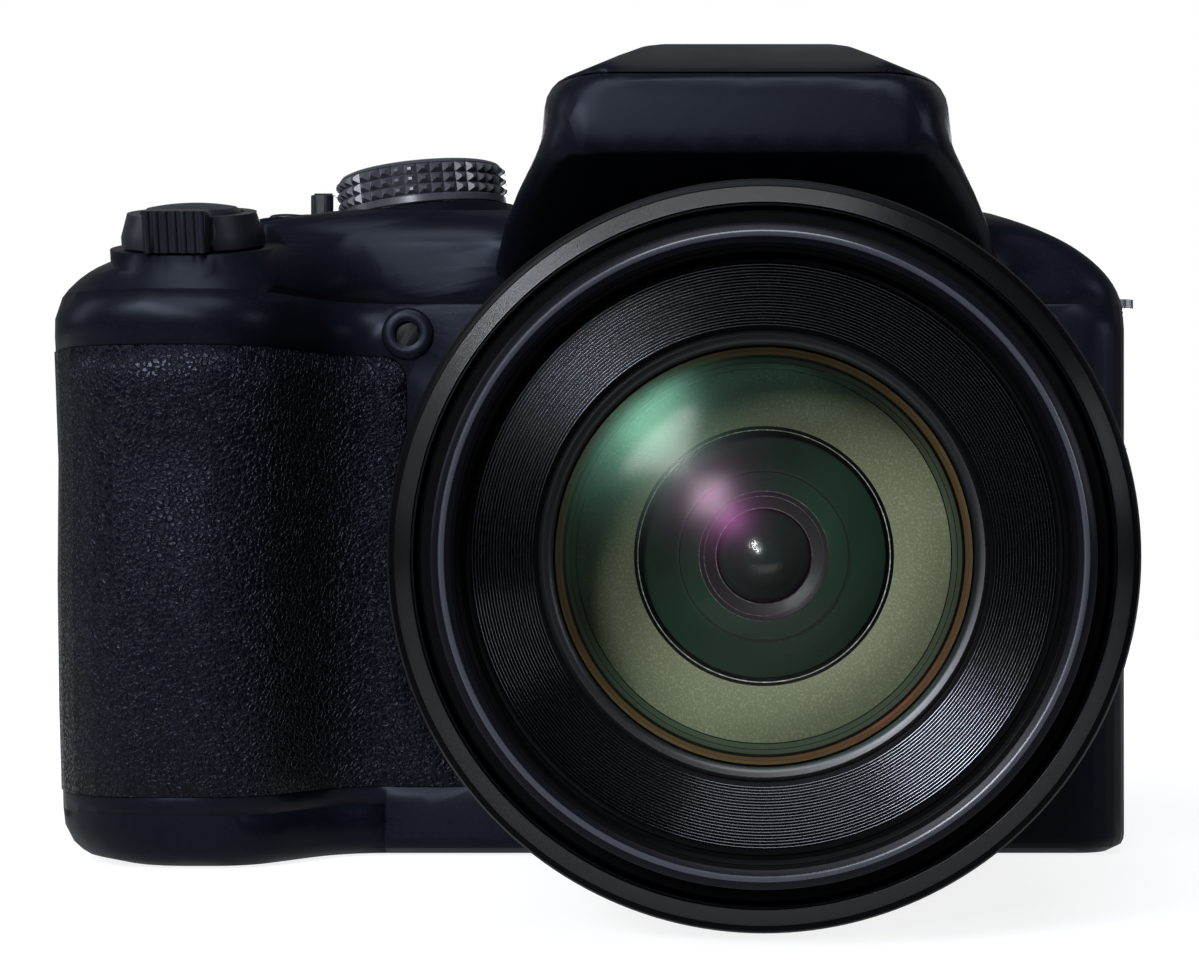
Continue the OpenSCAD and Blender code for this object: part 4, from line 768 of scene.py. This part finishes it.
def floor():
    """One flat face just below the object."""
    form = bmesh.new()
    spots = ((-FLOOR_HALF, FLOOR_NEAR, 0), (FLOOR_HALF, FLOOR_NEAR, 0), (FLOOR_HALF, FLOOR_FAR, 0),
             (-FLOOR_HALF, FLOOR_FAR, 0))
    form.faces.new([form.verts.new(spot) for spot in spots])
    mesh = bpy.data.meshes.new("floor")
    form.to_mesh(mesh)
    form.free()
    mesh.materials.append(white_floor())
    made = bpy.data.objects.new("floor", mesh)
    bpy.context.scene.collection.objects.link(made)
    made.location.z = cad_low.z - FLOOR_DROP


def lamp(name, place, aim, width, height, power):
    """Rectangular lamp in metres and watts, turned to its aim."""
    light = bpy.data.lights.new(name, "AREA")
    light.shape = "RECTANGLE"
    light.size = width
    light.size_y = height
    light.energy = power
    light.color = LAMP_TINT
    made = bpy.data.objects.new(name, light)
    bpy.context.scene.collection.objects.link(made)
    made.location = place
    made.rotation_euler = (Vector(aim) - Vector(place)).to_track_quat("-Z", "Y").to_euler()


def surroundings():
    """White to the camera; mirror and clear surfaces see it white behind the object and dark ahead."""
    world = bpy.data.worlds.new("Studio")
    bpy.context.scene.world = world
    world.use_nodes = True
    tree = world.node_tree
    tree.nodes.clear()
    direct, mirrored = seen_rays(tree)
    way = put(tree, "ShaderNodeSeparateXYZ", {0: put(tree, "ShaderNodeTexCoord").outputs["Generated"]})
    behind = between(tree, way.outputs["Y"], 0.2, 0.9, 0.0, BEHIND_SHARE)
    share = sums(tree, "MAXIMUM", direct, sums(tree, "MULTIPLY", mirrored, behind))
    seen = put(tree, "ShaderNodeBackground", {"Color": (1, 1, 1, 1), "Strength": 1.0})
    dim = put(tree, "ShaderNodeBackground", {"Color": (0.75, 0.8, 0.9, 1), "Strength": 0.04})
    both = put(tree, "ShaderNodeMixShader", {0: share, 1: dim.outputs[0], 2: seen.outputs[0]})
    put(tree, "ShaderNodeOutputWorld", {"Surface": both.outputs[0]})


def camera():
    """The photograph's view, straight along the lens axis."""
    lens = bpy.data.cameras.new("view")
    lens.lens = VIEW_FOCAL
    lens.sensor_width = 36.0
    lens.shift_x, lens.shift_y = VIEW_SHIFT
    lens.clip_start = 0.01
    made = bpy.data.objects.new("view", lens)
    bpy.context.scene.collection.objects.link(made)
    made.location = (0, -VIEW_AWAY, AXIS_H * MM)
    made.rotation_euler = (math.radians(90), 0, 0)
    bpy.context.scene.camera = made


floor()
surroundings()
camera()
lamp("key", (-0.42, -0.75, 0.5), MIDDLE, 0.28, 0.28, 7.0)
lamp("near key", (-0.24, -0.95, 0.3), MIDDLE, 0.16, 0.16, 3.0)
lamp("left strip", (-0.75, -0.05, 0.35), (-0.05, -0.02, 0.05), 0.2, 0.5, 1.0)
lamp("right fill", (0.8, -0.3, 0.3), MIDDLE, 0.3, 0.3, 1.2)
lamp("top", (-0.05, -0.45, 0.7), (0, -0.02, 0.08), 0.5, 0.4, 4.0)
lamp("under", (0.05, -0.05, -0.7), (0, 0, 0), 0.4, 0.4, 2.0)
lamp("back", (0.0, 0.9, 0.12), (0, 0.02, 0.05), 0.5, 0.3, 6.0)
bpy.context.scene.view_settings.view_transform = "Standard"
